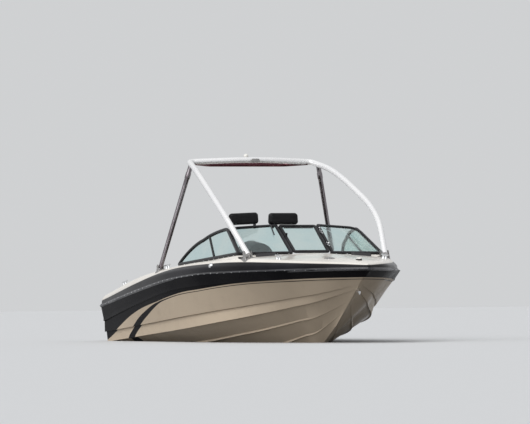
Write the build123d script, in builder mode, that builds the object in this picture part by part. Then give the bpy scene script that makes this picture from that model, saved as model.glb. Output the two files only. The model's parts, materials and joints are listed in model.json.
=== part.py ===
from build123d import *
import math
import os

# Closed-bow inboard tow boat with a tube tower, in millimetres.
# X points forward from the transom, Y to port, Z up from the still waterline.

os.makedirs("parts", exist_ok=True)

# Hull lines, each row on its own section plane
# The plane crosses Z = 0 at x0 and leans forward by lean millimetres a millimetre of height.
# x0, lean, keel z, lower chine y z, spray rail y z, knuckle y z, sheer y z
HULL_ROWS = [
    (0, 0.00, -330, 955, -5, 992, 112, 1012, 238, 1050, 420),
    (1600, 0.00, -345, 966, 88, 1008, 212, 1098, 408, 1150, 590),
    (3000, 0.00, -330, 960, 172, 1004, 306, 1128, 566, 1170, 727),
    (3700, 0.10, -265, 892, 232, 928, 362, 1072, 612, 1125, 772),
    (4250, 0.45, -205, 722, 304, 762, 424, 912, 652, 972, 788),
    (4600, 1.05, -120, 445, 402, 484, 503, 606, 690, 655, 803),
    (4780, 1.42, -55, 248, 478, 274, 562, 305, 702, 352, 811),
    (4889, 1.66, 190, 10, 590, 13, 645, 14, 700, 18, 820),
]

# Deck lines on upright section planes
# x, edge y, shoulder y z, top edge y z, crown z
DECK_ROWS = [
    (0, 1050, 1032, 505, 985, 556, 578),
    (1600, 1150, 1134, 690, 1082, 768, 792),
    (3000, 1170, 1152, 815, 1078, 884, 905),
    (3800, 1116, 1096, 848, 1000, 930, 968),
    (4500, 1000, 972, 858, 880, 950, 1004),
    (5150, 785, 752, 858, 668, 925, 968),
    (5700, 520, 488, 856, 418, 900, 930),
    (6050, 255, 232, 854, 184, 882, 900),
    (6236, 24, 20, 850, 14, 862, 868),
]

# Sheer line: a straight run from the transom, a long knee, a straight run to the stem
sheer_aft_z = 420
sheer_knee_x = 3287
sheer_knee_z = 768
sheer_bow_x = 6250
sheer_bow_z = 820
sheer_knee_radius = 20400
sheer_run_out = 200
half_space = 1600
deck_skin = 22
deck_hollow_end_x = 6028
deck_reach = 40

# Lifting strakes on the bottom, narrowing toward the bow
strake_width = 38
STRAKE_SHARES = (0.36, 0.68)

# Rub rail: a base and a narrower bead along its middle
rail_height = 38
rail_proud = 14
bead_height = 14
bead_proud = 22
rail_nose = 8

# Cockpit opening and the well below it
side_deck_width = 270
cockpit_half_width = max(row[1] for row in DECK_ROWS) - side_deck_width
cockpit_aft_x = 740
cockpit_front_x = 3720
cockpit_corner = 160
sole_z = 20
sole_thick = 16
sole_gap = 2
# x, sole half width, side foot y z, half width at the mouth
WELL_ROWS = [
    (cockpit_aft_x, 640, cockpit_half_width, 130, cockpit_half_width + 30),
    (1600, 640, cockpit_half_width + 5, 180, cockpit_half_width + 30),
    (3000, 560, cockpit_half_width - 5, 260, cockpit_half_width + 30),
    (3700, 430, cockpit_half_width - 50, 340, cockpit_half_width + 25),
    (4250, 230, 560, 420, 640),
]
well_mouth_z = 1400

# Stern locker and its raised lid
locker_aft_x = 150
locker_front_x = 590
locker_half_width = 600
locker_floor_z = 60
locker_corner = 60
lid_margin = 35
lid_thick = 42
lid_gap = 1

# Engine and its bay
engine_aft_x = 1880
engine_length = 780
engine_width = 520
engine_height = 490
bay_margin = 40
bay_corner = 30
bay_floor_z = -165

# Engine box and its lid
box_gap = 10
box_wall = 25
box_half_width = 350
box_split_z = 400
box_top_z = 560
box_corner = 70
lid_pad = 60
lid_taper = 4

# Driveline
shaft_angle = 13.0
shaft_radius = 14
shaft_overhang = 20
propeller_x = 560
propeller_z = -545
propeller_radius = 165
hub_radius = 34
hub_length = 110
blade_count = 4
blade_thick = 9
log_radius = 26
log_mouth_x = 860
shaft_top_x = 1560
strut_x = 740
strut_boss_radius = 30
strut_boss_length = 110
strut_chord = 100
strut_thick = 22
bearing_gap = 1

# Rudder
rudder_x = 250
rudder_stock_radius = 15
rudder_top_z = -210
rudder_tip_z = -690
rudder_head_z = -392
rudder_chord = 220
rudder_tip_chord = 180
rudder_thick = 26
rudder_balance = 20
rudder_gap = 5
stock_lap = 60

# Tracking fins
FIN_PLACES = (2500, 2900, 3300)
fin_thick = 12
fin_tip_z = -430

# Windshield corner points on the port side
post_foot = Vector(4450, 246, 1008)
post_head = Vector(3961, 254, 1320)
corner_foot = Vector(4409, 853, 1000)
corner_head = Vector(3829, 774, 1288)
side_tail = Vector(2820, 1008, 890)
side_arc = Vector(3172, 876, 1150)
mullion_foot = Vector(3724, 910, 976)
mullion_head = Vector(3369, 838, 1210)
post_width = 32
rail_width = 34
mullion_width = 20
frame_depth = 26
glass_thick = 6
panel_gap = 5

# Hinges: lugs on the fixed side, a tongue on the moving one
hinge_radius = 7
hinge_pin_radius = 3.5
hinge_length = 70
tongue_length = 26
hinge_gap = 1
pin_gap = 0.4
lid_hinge_y = 400
box_hinge_y = 200
hinge_offset = 12
panel_hinge_radius = 6
panel_hinge_lift = 8
leaf_thick = 3
leaf_reach = 24
leaf_sink = 3
strap_height = 45
lug_drop = 22
PANEL_HINGE_SHARES = (0.26, 0.72)

# Tower tube lines on the port side
hoop_radius = 37
HOOP_POINTS = [
    # x, y, z, bend radius
    (4604, 819, 985, 0),
    (4110, 905, 1440, 1800),
    (2950, 850, 1992, 1500),
    (2440, 738, 2083, 200),
    (2520, 0, 2106, 2000),
]
leg_foot_radius = 27
leg_head_radius = 32
leg_foot = Vector(2306, 1076, 850)
leg_head = Vector(2508, 776, 2010)
collar_radius = 38
collar_length = 70
collar_drop = 190
rear_bar_radius = 24
rear_bar_x = 2270
rear_bar_z = 2052
rear_bar_half_width = 470
foot_plate_thick = 8
foot_bed = 0.8
foot_cheek_thick = 8
foot_pin_radius = 8
foot_pin_reach = 26

# Cushions, pads and seats
bench_depth = 520
bench_width = 1660
bench_top_z = 400
cushion_thick = 119
bench_back_height = 210
bench_back_thick = 110
bench_base_inset = 30
bench_base_width = 1240
wall_gap = 4
soft_gap = 1
cushion_corner = 60
cushion_edge = 30
pad_thick = 55
pad_height = 160
pad_aft_x = 1330
pad_front_x = 3480
pad_aft_z = 470
pad_front_z = 640
driver_seat_x = 3060
observer_seat_x = 3180
seat_y = 440
seat_base_z = 300
seat_width = 480
seat_depth = 470
seat_cushion_thick = 120
seat_back_height = 500
seat_back_thick = 110
bolster_width = 60
bolster_height = 240
seat_edge = 22
pedestal_length = 300
pedestal_width = 100

# Helm
dash_half_width = 330
dash_pod_y = 470
dash_depth = 170
dash_corner = 25
hood_x = 3800
hood_length = 300
hood_half_width = 195
hood_top_z = 1150
wheel_tilt = 25.0
wheel_centre = Vector(3440, -seat_y, 770)
wheel_radius = 170
wheel_rim = 13
wheel_hub_radius = 34
spoke_count = 3
spoke_width = 24
spoke_thick = 8
column_radius = 22
column_reach = 170
throttle_x = 3300
throttle_z = 660
throttle_box_depth = 30
throttle_knob_z = 825

# Tow pylon
pylon_gap = 40
pylon_plate_radius = 85
pylon_plate_thick = 14
pylon_radius = 30
pylon_top_z = 1050
pylon_cap_radius = 38
pylon_cap_height = 20
pylon_neck_radius = 20
pylon_neck_height = 50

# Light, mirrors and wiper
light_stem_radius = 22
light_stem_height = 56
light_radius = 28
light_height = 70
mirror_width = 380
mirror_height = 140
mirror_depth = 60
mirror_corner = 35
MIRROR_PLACES = [(3885, -610, 1408), (3905, -140, 1408)]
mirror_arm_width = 26
wiper_length = 230
wiper_width = 14
wiper_lift = 20

# Deck fittings
vent_x = 4500
vent_y = 570
vent_length = 220
vent_width = 90
vent_height = 36
slat_count = 4
CLEAT_PLACES = [(5080, 630), (780, 1000), (2500, 1050)]
cleat_length = 210
cleat_width = 28
cleat_post_radius = 11
cleat_post_pitch = 80
cleat_rise = 28
cleat_horn = 20
bow_light_x = 5930
bow_light_length = 120
bow_light_width = 56
filler_x = 4000
filler_z = 868
filler_radius = 33
filler_proud = 8

# Towing and tie-down eyes
eye_thick = 14
eye_bore = 14
eye_outer = 28
bow_eye_x = 5925
bow_eye_z = 560
transom_eye_x = -34
transom_eye_y = 760
transom_eye_z = 250

# Exhaust outlets
exhaust_y = 430
exhaust_z = 60
exhaust_radius = 58
exhaust_bore = 46
exhaust_length = 60

# Swim platform on two brackets
platform_depth = 520
platform_half_width = 830
platform_taper = 80
platform_corner = 110
platform_top_z = 190
platform_thick = 34
platform_gap = 12
slot_count = 7
slot_width = 10
slot_length = 960
slot_pitch = 56
bracket_y = 560
bracket_thick = 16
bracket_foot_z = -60
bracket_reach = 430


def keep(piece, label):
    """Labels a finished piece and writes it to its own file."""
    piece.part.label = label
    export_step(piece.part, f"parts/{label}.step")


def mirrored(points):
    """Adds the starboard half to a list of port points that starts on the centreline."""
    return points + [(-y, z) for y, z in reversed(points) if y > 0]


def lean_plane(x0, lean):
    """A section plane across the boat that leans forward."""
    return Plane(origin=(x0, 0, 0), x_dir=(0, 1, 0), z_dir=(1, 0, -lean))


def between(start, end, toward):
    """A plane at start whose normal runs to end and whose x axis leans to a third direction."""
    run = (end - start).normalized()
    side = toward - run * toward.dot(run)
    return Plane(origin=start, x_dir=side, z_dir=run)


def flip(point):
    """The same point on the other side of the boat."""
    return Vector(point.X, -point.Y, point.Z)


def faired(rows, stations, steps):
    """Rows with more between them, on a smooth curve through each column."""

    def slope(index, column):
        if index == 0 or index == len(rows) - 1:
            near = max(index - 1, 0)
            rise = rows[near + 1][column] - rows[near][column]
            return rise / (stations[near + 1] - stations[near])
        ahead = stations[index + 1] - stations[index]
        behind = stations[index] - stations[index - 1]
        rise_ahead = (rows[index + 1][column] - rows[index][column]) / ahead
        rise_behind = (rows[index][column] - rows[index - 1][column]) / behind
        return (rise_behind * ahead + rise_ahead * behind) / (ahead + behind)

    result = []
    for index in range(len(rows) - 1):
        span = stations[index + 1] - stations[index]
        for step in range(steps):
            t = step / steps
            row = []
            for column, (start, end) in enumerate(zip(rows[index], rows[index + 1])):
                row.append(
                    start * (2 * t**3 - 3 * t**2 + 1)
                    + end * (3 * t**2 - 2 * t**3)
                    + span * slope(index, column) * (t**3 - 2 * t**2 + t)
                    + span * slope(index + 1, column) * (t**3 - t**2)
                )
            result.append(tuple(row))
    return result + [rows[-1]]


fairing_steps = 2
HULL_LINES = faired(HULL_ROWS, [x0 + lean * sheer for x0, lean, *_, sheer in HULL_ROWS], fairing_steps)
DECK_LINES = faired(DECK_ROWS, [row[0] for row in DECK_ROWS], fairing_steps)


def blend(low, high, share):
    """The value at a share of the way from low to high."""
    return low + (high - low) * share


def deck_row(x):
    """The deck's lines at a station between two of its sections."""
    index = max(i for i, row in enumerate(DECK_LINES[:-1]) if row[0] <= x)
    aft, fore = DECK_LINES[index], DECK_LINES[index + 1]
    share = (x - aft[0]) / (fore[0] - aft[0])
    return [blend(a, b, share) for a, b in zip(aft, fore)]


def deck_z(x, y):
    """The deck's height at a place on its top, inboard of the shoulder."""
    _, _, shoulder_y, shoulder_z, top_y, top_z, crown_z = deck_row(x)
    if abs(y) <= top_y:
        return blend(crown_z, top_z, abs(y) / top_y)
    return blend(top_z, shoulder_z, (abs(y) - top_y) / (shoulder_y - top_y))


def deck_plane(x, y):
    """A plane on the deck's top at a place to port, its x axis running forward."""
    fore = Vector(x + deck_reach, y, deck_z(x + deck_reach, y))
    aft = Vector(x - deck_reach, y, deck_z(x - deck_reach, y))
    spot = Vector(x, y, deck_z(x, y))
    inner = Vector(x, y - deck_reach, deck_z(x, y - deck_reach))
    return Plane(origin=spot, x_dir=fore - aft, z_dir=(fore - aft).cross(spot - inner))


def bottom_points(keel_z, chine_y, chine_z):
    """Keel to chine in section, with the two lifting strakes."""
    slope = (chine_z - keel_z) / chine_y
    width = strake_width * chine_y / HULL_ROWS[0][3]
    points = [(0, keel_z)]
    for share in STRAKE_SHARES:
        y, z = share * chine_y, blend(keel_z, chine_z, share)
        points += [(y, z), (y + width, z), (y + width, z + slope * width)]
    return points + [(chine_y, chine_z)]


# Whole hull form, closed across above the sheer
overlap = 60
with BuildPart() as hull_form:
    for x0, lean, keel_z, *lines in HULL_LINES:
        chine_y, chine_z, spray_y, spray_z, knuckle_y, knuckle_z, sheer_y, sheer_z = lines
        stretch = math.hypot(1, lean)
        flare = (sheer_y - knuckle_y) / (sheer_z - knuckle_z)
        port = bottom_points(keel_z, chine_y, chine_z) + [
            (spray_y, spray_z),
            (knuckle_y, knuckle_z),
            (sheer_y + flare * overlap, sheer_z + overlap),
        ]
        with BuildSketch(lean_plane(x0, lean)):
            with BuildLine():
                Polyline(*[(y, z * stretch) for y, z in mirrored(port)], close=True)
            make_face()
    loft(ruled=True)

# Whole deck form, from below the sheer to the crown
deck_form_z = 380
with BuildPart() as deck_form:
    for x, edge_y, shoulder_y, shoulder_z, top_y, top_z, crown_z in DECK_LINES:
        port = [(0, crown_z), (top_y, top_z), (shoulder_y, shoulder_z), (edge_y, deck_form_z)]
        with BuildSketch(Plane.YZ.offset(x)):
            with BuildLine():
                Polyline(*mirrored(port), close=True)
            make_face()
    loft(ruled=True)

# Hollow under the deck skin
with BuildPart() as deck_hollow:
    for x, edge_y, shoulder_y, shoulder_z, top_y, top_z, crown_z in DECK_LINES[:-2]:
        port = [
            (0, crown_z - deck_skin),
            (top_y - deck_skin / 2, top_z - deck_skin),
            (shoulder_y - deck_skin, shoulder_z - deck_skin / 2),
            (edge_y - deck_skin, deck_form_z - 2 * deck_skin),
        ]
        with BuildSketch(Plane.YZ.offset(min(max(x, deck_skin), deck_hollow_end_x))):
            with BuildLine():
                Polyline(*mirrored(port), close=True)
            make_face()
    loft(ruled=True)


def sheer_line(lift):
    """The sheer line seen from the side, raised by lift and run past both ends."""
    fall = (sheer_knee_z - sheer_aft_z) / sheer_knee_x
    return FilletPolyline(
        (-sheer_run_out, sheer_aft_z + lift - sheer_run_out * fall),
        (sheer_knee_x, sheer_knee_z + lift),
        (sheer_bow_x + sheer_run_out, sheer_bow_z + lift),
        radius=sheer_knee_radius,
    )


def side_block(low, high):
    """Everything between two heights above the sheer, across the whole beam."""
    with BuildPart() as block:
        with BuildSketch(Plane.XZ):
            with BuildLine():
                under = sheer_line(low)
                over = sheer_line(high)
                Line(under @ 0, over @ 0)
                Line(under @ 1, over @ 1)
            make_face()
        extrude(amount=half_space, both=True)
    return block.part


above_sheer = side_block(0, half_space)
below_sheer = side_block(-half_space, 0)

# Cockpit well, cut out of the foam-filled hull
with BuildPart() as well:
    for x, sole_y, foot_y, foot_z, mouth_y in WELL_ROWS:
        with BuildSketch(Plane.YZ.offset(x)):
            with BuildLine():
                port = [(sole_y, sole_z), (foot_y, foot_z), (mouth_y, well_mouth_z)]
                Polyline(*(port + [(-y, z) for y, z in reversed(port)]), close=True)
            make_face()
    loft(ruled=True)

# Engine bay under the sole
bay_length = engine_length + 2 * bay_margin
bay_centre_x = engine_aft_x + engine_length / 2
with BuildPart() as bay:
    with BuildSketch(Plane.XY.offset(bay_floor_z)):
        with Locations((bay_centre_x, 0)):
            RectangleRounded(bay_length, engine_width + 2 * bay_margin, bay_corner)
    extrude(amount=sole_z + sole_thick - bay_floor_z)

# Stern locker
lid_centre_x = (locker_aft_x + locker_front_x) / 2
with BuildPart() as locker:
    with BuildSketch(Plane.XY.offset(locker_floor_z)):
        with Locations((lid_centre_x, 0)):
            RectangleRounded(locker_front_x - locker_aft_x, 2 * locker_half_width, locker_corner)
    extrude(amount=well_mouth_z)

# Shaft line
shaft_rise = math.tan(math.radians(shaft_angle))
shaft_run = Vector(math.cos(math.radians(shaft_angle)), 0, math.sin(math.radians(shaft_angle)))
propeller_centre = Vector(propeller_x, 0, propeller_z)


def shaft_plane(x):
    """The plane square to the shaft where its axis passes x."""
    origin = propeller_centre + Vector(1, 0, shaft_rise) * (x - propeller_x)
    return Plane(origin=origin, x_dir=(0, 1, 0), z_dir=shaft_run)


with BuildPart() as shaft_log:
    with BuildSketch(shaft_plane(log_mouth_x)):
        Circle(log_radius)
    extrude(amount=(engine_aft_x - log_mouth_x) / shaft_run.X)

# Hull
with BuildPart() as hull:
    add(hull_form.part)
    add(above_sheer, mode=Mode.SUBTRACT)
    add(well.part, mode=Mode.SUBTRACT)
    add(bay.part, mode=Mode.SUBTRACT)
    add(locker.part, mode=Mode.SUBTRACT)
    add(shaft_log.part, mode=Mode.SUBTRACT)
    with BuildSketch(Plane.XY.offset(rudder_top_z + rudder_gap)):
        with Locations((rudder_x, 0)):
            Circle(rudder_stock_radius + rudder_gap)
    extrude(amount=rudder_head_z - rudder_top_z, mode=Mode.SUBTRACT)
keep(hull, "hull")

# Deck
with BuildPart() as deck:
    add(deck_form.part)
    add(below_sheer, mode=Mode.SUBTRACT)
    add(deck_hollow.part, mode=Mode.SUBTRACT)
    with BuildSketch(Plane.XY):
        with Locations(((cockpit_aft_x + cockpit_front_x) / 2, 0)):
            RectangleRounded(
                cockpit_front_x - cockpit_aft_x, 2 * cockpit_half_width, cockpit_corner
            )
    extrude(amount=half_space, mode=Mode.SUBTRACT)
    add(locker.part, mode=Mode.SUBTRACT)
keep(deck, "deck")


def rail_part(proud, height):
    """A band of one height round both sides and the stem, standing proud of the deck's edge."""
    with BuildPart() as band:
        for x, edge_y, *_ in DECK_LINES[:-1] + [(sheer_bow_x + rail_nose, DECK_ROWS[-1][1])]:
            with BuildSketch(Plane.YZ.offset(x)):
                Rectangle(2 * (edge_y + proud), 2 * half_space)
        loft(ruled=True)
        add(side_block(height / 2, 2 * half_space), mode=Mode.SUBTRACT)
        add(side_block(-2 * half_space, -height / 2), mode=Mode.SUBTRACT)
    return band.part


# Rub rail
with BuildPart() as rub_rail:
    add(rail_part(rail_proud, rail_height))
    add(rail_part(bead_proud, bead_height))
    add(hull_form.part, mode=Mode.SUBTRACT)
    add(deck_form.part, mode=Mode.SUBTRACT)
keep(rub_rail, "rub_rail")

# Cockpit sole, laid on the floor of the well, open over the engine bay
floor_z = sole_z + sole_thick
with BuildPart() as sole:
    with BuildSketch(Plane.XY.offset(sole_z)):
        with BuildLine():
            port = [(x, sole_y - sole_gap) for x, sole_y, *_ in WELL_ROWS]
            Polyline(*(port + [(x, -y) for x, y in reversed(port)]), close=True)
        make_face()
    extrude(amount=sole_thick)
    add(bay.part, mode=Mode.SUBTRACT)
keep(sole, "cockpit_sole")

# Engine: sump, block, two banks of cylinders, inlet and its flame arrester
sump_height = 105
block_half_width = 130
block_height = 220
bank_angle = 45
bank_width = 150
bank_length = 600
cover_height = 60
inlet_width = 170
arrester_radius = 95
arrester_height = 55
pulley_radius = 85
pulley_length = 40
engine_centre_x = bay_centre_x
sump_top_z = bay_floor_z + sump_height
bank_z = sump_top_z + block_height
with BuildPart() as engine:
    with BuildSketch(Plane.XY.offset(bay_floor_z)):
        with Locations((engine_centre_x, 0)):
            RectangleRounded(engine_length - 4 * pulley_length, 2 * block_half_width - 40, 30)
    extrude(amount=sump_height)
    with BuildSketch(Plane.XY.offset(sump_top_z)):
        with Locations((engine_centre_x, 0)):
            RectangleRounded(engine_length - 2 * pulley_length, 2 * block_half_width, 20)
    extrude(amount=block_height)
    for side in (-1, 1):
        lean = math.radians(bank_angle)
        bank_plane = Plane(
            origin=(engine_centre_x, side * block_half_width / 2, bank_z - block_half_width / 2),
            x_dir=(1, 0, 0),
            z_dir=(0, side * math.sin(lean), math.cos(lean)),
        )
        with BuildSketch(bank_plane):
            Rectangle(bank_length, bank_width)
        extrude(amount=block_half_width)
        with BuildSketch(bank_plane.offset(block_half_width)):
            RectangleRounded(bank_length - 40, bank_width - 30, 30)
        extrude(amount=cover_height)
    with BuildSketch(Plane.XY.offset(bank_z)):
        with Locations((engine_centre_x, 0)):
            RectangleRounded(bank_length - 60, inlet_width, 40)
    extrude(amount=bay_floor_z + engine_height - arrester_height - bank_z)
    with BuildSketch(Plane.XY.offset(bay_floor_z + engine_height - arrester_height)):
        with Locations((engine_centre_x, 0)):
            Circle(arrester_radius)
    extrude(amount=arrester_height)
    with BuildSketch(Plane.YZ.offset(engine_aft_x)):
        with Locations((0, sump_top_z + block_height / 2)):
            Circle(pulley_radius)
    extrude(amount=engine_length)
keep(engine, "engine_block")

# Engine box: a fixed lower surround
box_length = bay_length + 2 * (box_wall + box_gap)
box_aft_x = bay_centre_x - box_length / 2
box_front_x = box_aft_x + box_length


def box_ring(inset):
    """The engine box's plan outline, inset by a wall."""
    with Locations((bay_centre_x, 0)):
        RectangleRounded(box_length - 2 * inset, 2 * (box_half_width - inset), box_corner - inset)


with BuildPart() as engine_box:
    with BuildSketch(Plane.XY.offset(floor_z)) as box_outer:
        box_ring(0)
    extrude(amount=box_split_z - floor_z)
    with BuildSketch(Plane.XY.offset(floor_z)) as box_inner:
        box_ring(box_wall)
    extrude(amount=box_split_z - floor_z, mode=Mode.SUBTRACT)
keep(engine_box, "engine_box")

# Engine box lid, a hollow padded cover hinged at its aft edge
lid_bottom_z = box_split_z + lid_gap
with BuildPart() as engine_lid:
    with BuildSketch(Plane.XY.offset(lid_bottom_z)):
        box_ring(0)
    extrude(amount=box_top_z - lid_bottom_z, taper=lid_taper)
    fillet(engine_lid.faces().sort_by(Axis.Z)[-1].edges(), radius=35)
    with BuildSketch(Plane.XY.offset(lid_bottom_z)):
        box_ring(box_wall)
    extrude(amount=box_top_z - lid_bottom_z - lid_pad, taper=lid_taper, mode=Mode.SUBTRACT)
keep(engine_lid, "engine_lid")

# Stern locker lid, a raised padded panel on the aft deck
with BuildPart() as locker_lid:
    with BuildSketch(Plane.XY):
        with Locations((lid_centre_x, 0)):
            RectangleRounded(
                locker_front_x - locker_aft_x + 2 * lid_margin,
                2 * (locker_half_width + lid_margin),
                locker_corner + lid_margin,
            )
    extrude(amount=half_space)
    add(deck_form.part.moved(Location((0, 0, lid_thick))), mode=Mode.INTERSECT)
    add(deck_form.part.moved(Location((0, 0, lid_gap))), mode=Mode.SUBTRACT)
keep(locker_lid, "locker_lid")


def knuckle(plane, start, length, radius, webs):
    """A hinge knuckle round the plane's normal, with webs given by their low and high corners."""
    with BuildPart() as piece:
        with BuildSketch(plane.offset(start)):
            Circle(radius)
            for (low_x, low_y), (high_x, high_y) in webs:
                with Locations(((low_x + high_x) / 2, (low_y + high_y) / 2)):
                    Rectangle(high_x - low_x, high_y - low_y)
        extrude(amount=length)
    return piece.part


def hinge_lugs_part(planes, radius, webs):
    """The fixed half of hinges: two lugs and a pin at each plane."""
    lug_length = (hinge_length - tongue_length) / 2 - hinge_gap
    with BuildPart() as piece:
        for plane in planes:
            add(knuckle(plane, -hinge_length / 2, lug_length, radius, webs))
            add(knuckle(plane, hinge_length / 2 - lug_length, lug_length, radius, webs))
            with BuildSketch(plane.offset(-hinge_length / 2)):
                Circle(hinge_pin_radius)
            extrude(amount=hinge_length)
    return piece.part


def hinge_tongues_part(planes, radius, webs):
    """The moving half of hinges: one bored knuckle between the lugs at each plane."""
    with BuildPart() as piece:
        for plane in planes:
            add(knuckle(plane, -tongue_length / 2, tongue_length, radius, webs))
            with BuildSketch(plane.offset(-tongue_length)):
                Circle(hinge_pin_radius + pin_gap)
            extrude(amount=2 * tongue_length, mode=Mode.SUBTRACT)
    return piece.part


# Locker lid hinges, ahead of the lid
lid_hinge_x = locker_front_x + lid_margin + hinge_offset
lid_hinge_z = deck_z(lid_hinge_x, lid_hinge_y) + hinge_offset
lid_hinge_planes = [
    Plane(origin=(lid_hinge_x, y, lid_hinge_z), x_dir=(-1, 0, 0), z_dir=(0, 1, 0))
    for y in (-lid_hinge_y, lid_hinge_y)
]
with BuildPart() as locker_hinges:
    add(hinge_tongues_part(lid_hinge_planes, hinge_radius, [((0, -3), (hinge_offset + 4, 22))]))
    add(locker_lid.part, mode=Mode.SUBTRACT)
keep(locker_hinges, "locker_hinges")

# Engine box hinges, behind the box
box_hinge_x = box_aft_x - hinge_offset
box_hinge_planes = [
    Plane(origin=(box_hinge_x, y, box_split_z), x_dir=(1, 0, 0), z_dir=(0, -1, 0))
    for y in (-box_hinge_y, box_hinge_y)
]
with BuildPart() as engine_hinges:
    add(hinge_tongues_part(box_hinge_planes, hinge_radius, [((4, 2), (hinge_offset + 4, strap_height))]))
    add(engine_lid.part, mode=Mode.SUBTRACT)
keep(engine_hinges, "engine_hinges")

# Rear bench across the aft end of the cockpit
bench_aft_x = cockpit_aft_x + wall_gap
bench_centre_x = bench_aft_x + bench_depth / 2
with BuildPart() as bench:
    with BuildSketch(Plane.XY.offset(floor_z)):
        with Locations((bench_centre_x, 0)):
            Rectangle(bench_depth - 2 * bench_base_inset, bench_base_width)
    extrude(amount=bench_top_z - cushion_thick - soft_gap - floor_z)
keep(bench, "bench_base")

with BuildPart() as bench_cushion:
    with BuildSketch(Plane.XY.offset(bench_top_z - cushion_thick)):
        with Locations((bench_centre_x, 0)):
            RectangleRounded(bench_depth, bench_width, cushion_corner)
    extrude(amount=cushion_thick)
    fillet(bench_cushion.faces().sort_by(Axis.Z)[-1].edges(), radius=cushion_edge)
keep(bench_cushion, "bench_cushion")

with BuildPart() as bench_back:
    with BuildSketch(Plane.YZ.offset(bench_aft_x)):
        with Locations((0, bench_top_z + soft_gap + bench_back_height / 2)):
            RectangleRounded(bench_width, bench_back_height, cushion_corner)
    extrude(amount=bench_back_thick)
    fillet(bench_back.faces().sort_by(Axis.X)[-1].edges(), radius=cushion_edge)
keep(bench_back, "bench_back")

# Coaming pads along both sides of the cockpit
pad_face_y = cockpit_half_width - pad_thick
with BuildPart() as side_pads:
    with BuildSketch(Plane.XZ.offset(-pad_face_y)):
        with BuildLine():
            FilletPolyline(
                (pad_aft_x, pad_aft_z),
                (pad_front_x, pad_front_z),
                (pad_front_x, pad_front_z + pad_height),
                (pad_aft_x, pad_aft_z + pad_height),
                radius=50,
                close=True,
            )
        make_face()
    extrude(amount=-2 * pad_thick)
    mirror(about=Plane.XZ)
    add(hull.part, mode=Mode.SUBTRACT)
    add(deck.part, mode=Mode.SUBTRACT)
keep(side_pads, "side_pads")


def seat_part(centre_x, centre_y, facing):
    """Cushion, back and side bolsters, facing 1 forward or -1 aft."""
    with BuildPart() as seat:
        with BuildSketch(Plane.XY.offset(seat_base_z)):
            with Locations((centre_x, centre_y)):
                RectangleRounded(seat_depth, seat_width, 80)
        extrude(amount=seat_cushion_thick)
        with BuildSketch(Plane.XY.offset(seat_base_z)):
            with Locations((centre_x - facing * (seat_depth - seat_back_thick) / 2, centre_y)):
                RectangleRounded(seat_back_thick, seat_width, seat_back_thick / 2 - 5)
        extrude(amount=seat_back_height)
        fillet(seat.faces().sort_by(Axis.Z)[-1].edges(), radius=seat_edge)
        bolster_y = (seat_width - bolster_width) / 2
        with BuildSketch(Plane.XY.offset(seat_base_z)):
            with Locations((centre_x - facing * seat_back_thick / 2, centre_y)):
                with Locations((0, bolster_y), (0, -bolster_y)):
                    RectangleRounded(seat_depth - seat_back_thick, bolster_width, bolster_width / 2 - 2)
        extrude(amount=bolster_height)
    return seat.part


# Two bucket seats on pedestals, the driver's to starboard, the observer's turned aft
with BuildPart() as driver_seat:
    add(seat_part(driver_seat_x, -seat_y, 1))
keep(driver_seat, "driver_seat")

with BuildPart() as observer_seat:
    add(seat_part(observer_seat_x, seat_y, -1))
keep(observer_seat, "observer_seat")

with BuildPart() as seat_bases:
    with BuildSketch(Plane.XY.offset(floor_z)):
        with Locations((driver_seat_x, -seat_y), (observer_seat_x, seat_y)):
            RectangleRounded(pedestal_length, pedestal_width, pedestal_width / 3)
    extrude(amount=seat_base_z - floor_z)
keep(seat_bases, "seat_bases")

# Dash: two pods across the front of the cockpit, and the driver's instrument hood on the deck
dash_face_x = cockpit_front_x - dash_depth
dash_front_x = cockpit_front_x - wall_gap
with BuildPart() as dash:
    for side in (-1, 1):
        with BuildSketch(Plane.XZ.offset(-side * dash_pod_y)):
            with BuildLine():
                FilletPolyline(
                    (dash_front_x, 560),
                    (dash_face_x, 600),
                    (dash_face_x + 60, 800),
                    (dash_front_x, 880),
                    radius=dash_corner,
                    close=True,
                )
            make_face()
        extrude(amount=dash_half_width, both=True)
    hood_z = deck_z(hood_x, seat_y) - deck_skin / 2
    with BuildSketch(Plane.YZ.offset(hood_x - hood_length / 2)):
        with BuildLine():
            ThreePointArc(
                (-seat_y - hood_half_width, hood_z),
                (-seat_y, hood_top_z),
                (-seat_y + hood_half_width, hood_z),
            )
            Line((-seat_y + hood_half_width, hood_z), (-seat_y - hood_half_width, hood_z))
        make_face()
    extrude(amount=hood_length, taper=6)
    add(deck_form.part, mode=Mode.SUBTRACT)
keep(dash, "dash")

# Steering wheel on its short column
wheel_run = Vector(math.cos(math.radians(wheel_tilt)), 0, -math.sin(math.radians(wheel_tilt)))
wheel_plane = Plane(origin=wheel_centre, x_dir=(0, 1, 0), z_dir=wheel_run)
with BuildPart() as wheel:
    with BuildSketch(Plane(origin=wheel_centre, x_dir=(0, 1, 0), z_dir=wheel_plane.y_dir)):
        with Locations((wheel_radius - wheel_rim, 0)):
            Circle(wheel_rim)
    revolve(axis=Axis(wheel_centre, wheel_run))
    with BuildSketch(wheel_plane.offset(-spoke_thick / 2)):
        Circle(wheel_hub_radius)
        with PolarLocations(0, spoke_count, start_angle=90):
            with Locations(((wheel_radius - wheel_rim) / 2, 0)):
                Rectangle(wheel_radius - wheel_rim, spoke_width)
    extrude(amount=spoke_thick)
    with BuildSketch(wheel_plane.offset(-spoke_thick * 3 / 2)):
        Circle(wheel_hub_radius)
    extrude(amount=spoke_thick * 3)
keep(wheel, "steering_wheel")

with BuildPart() as column:
    with BuildSketch(wheel_plane.offset(spoke_thick * 3 / 2 + 2)):
        Circle(column_radius)
    extrude(amount=column_reach)
    add(dash.part, mode=Mode.SUBTRACT)
keep(column, "steering_column")

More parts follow.
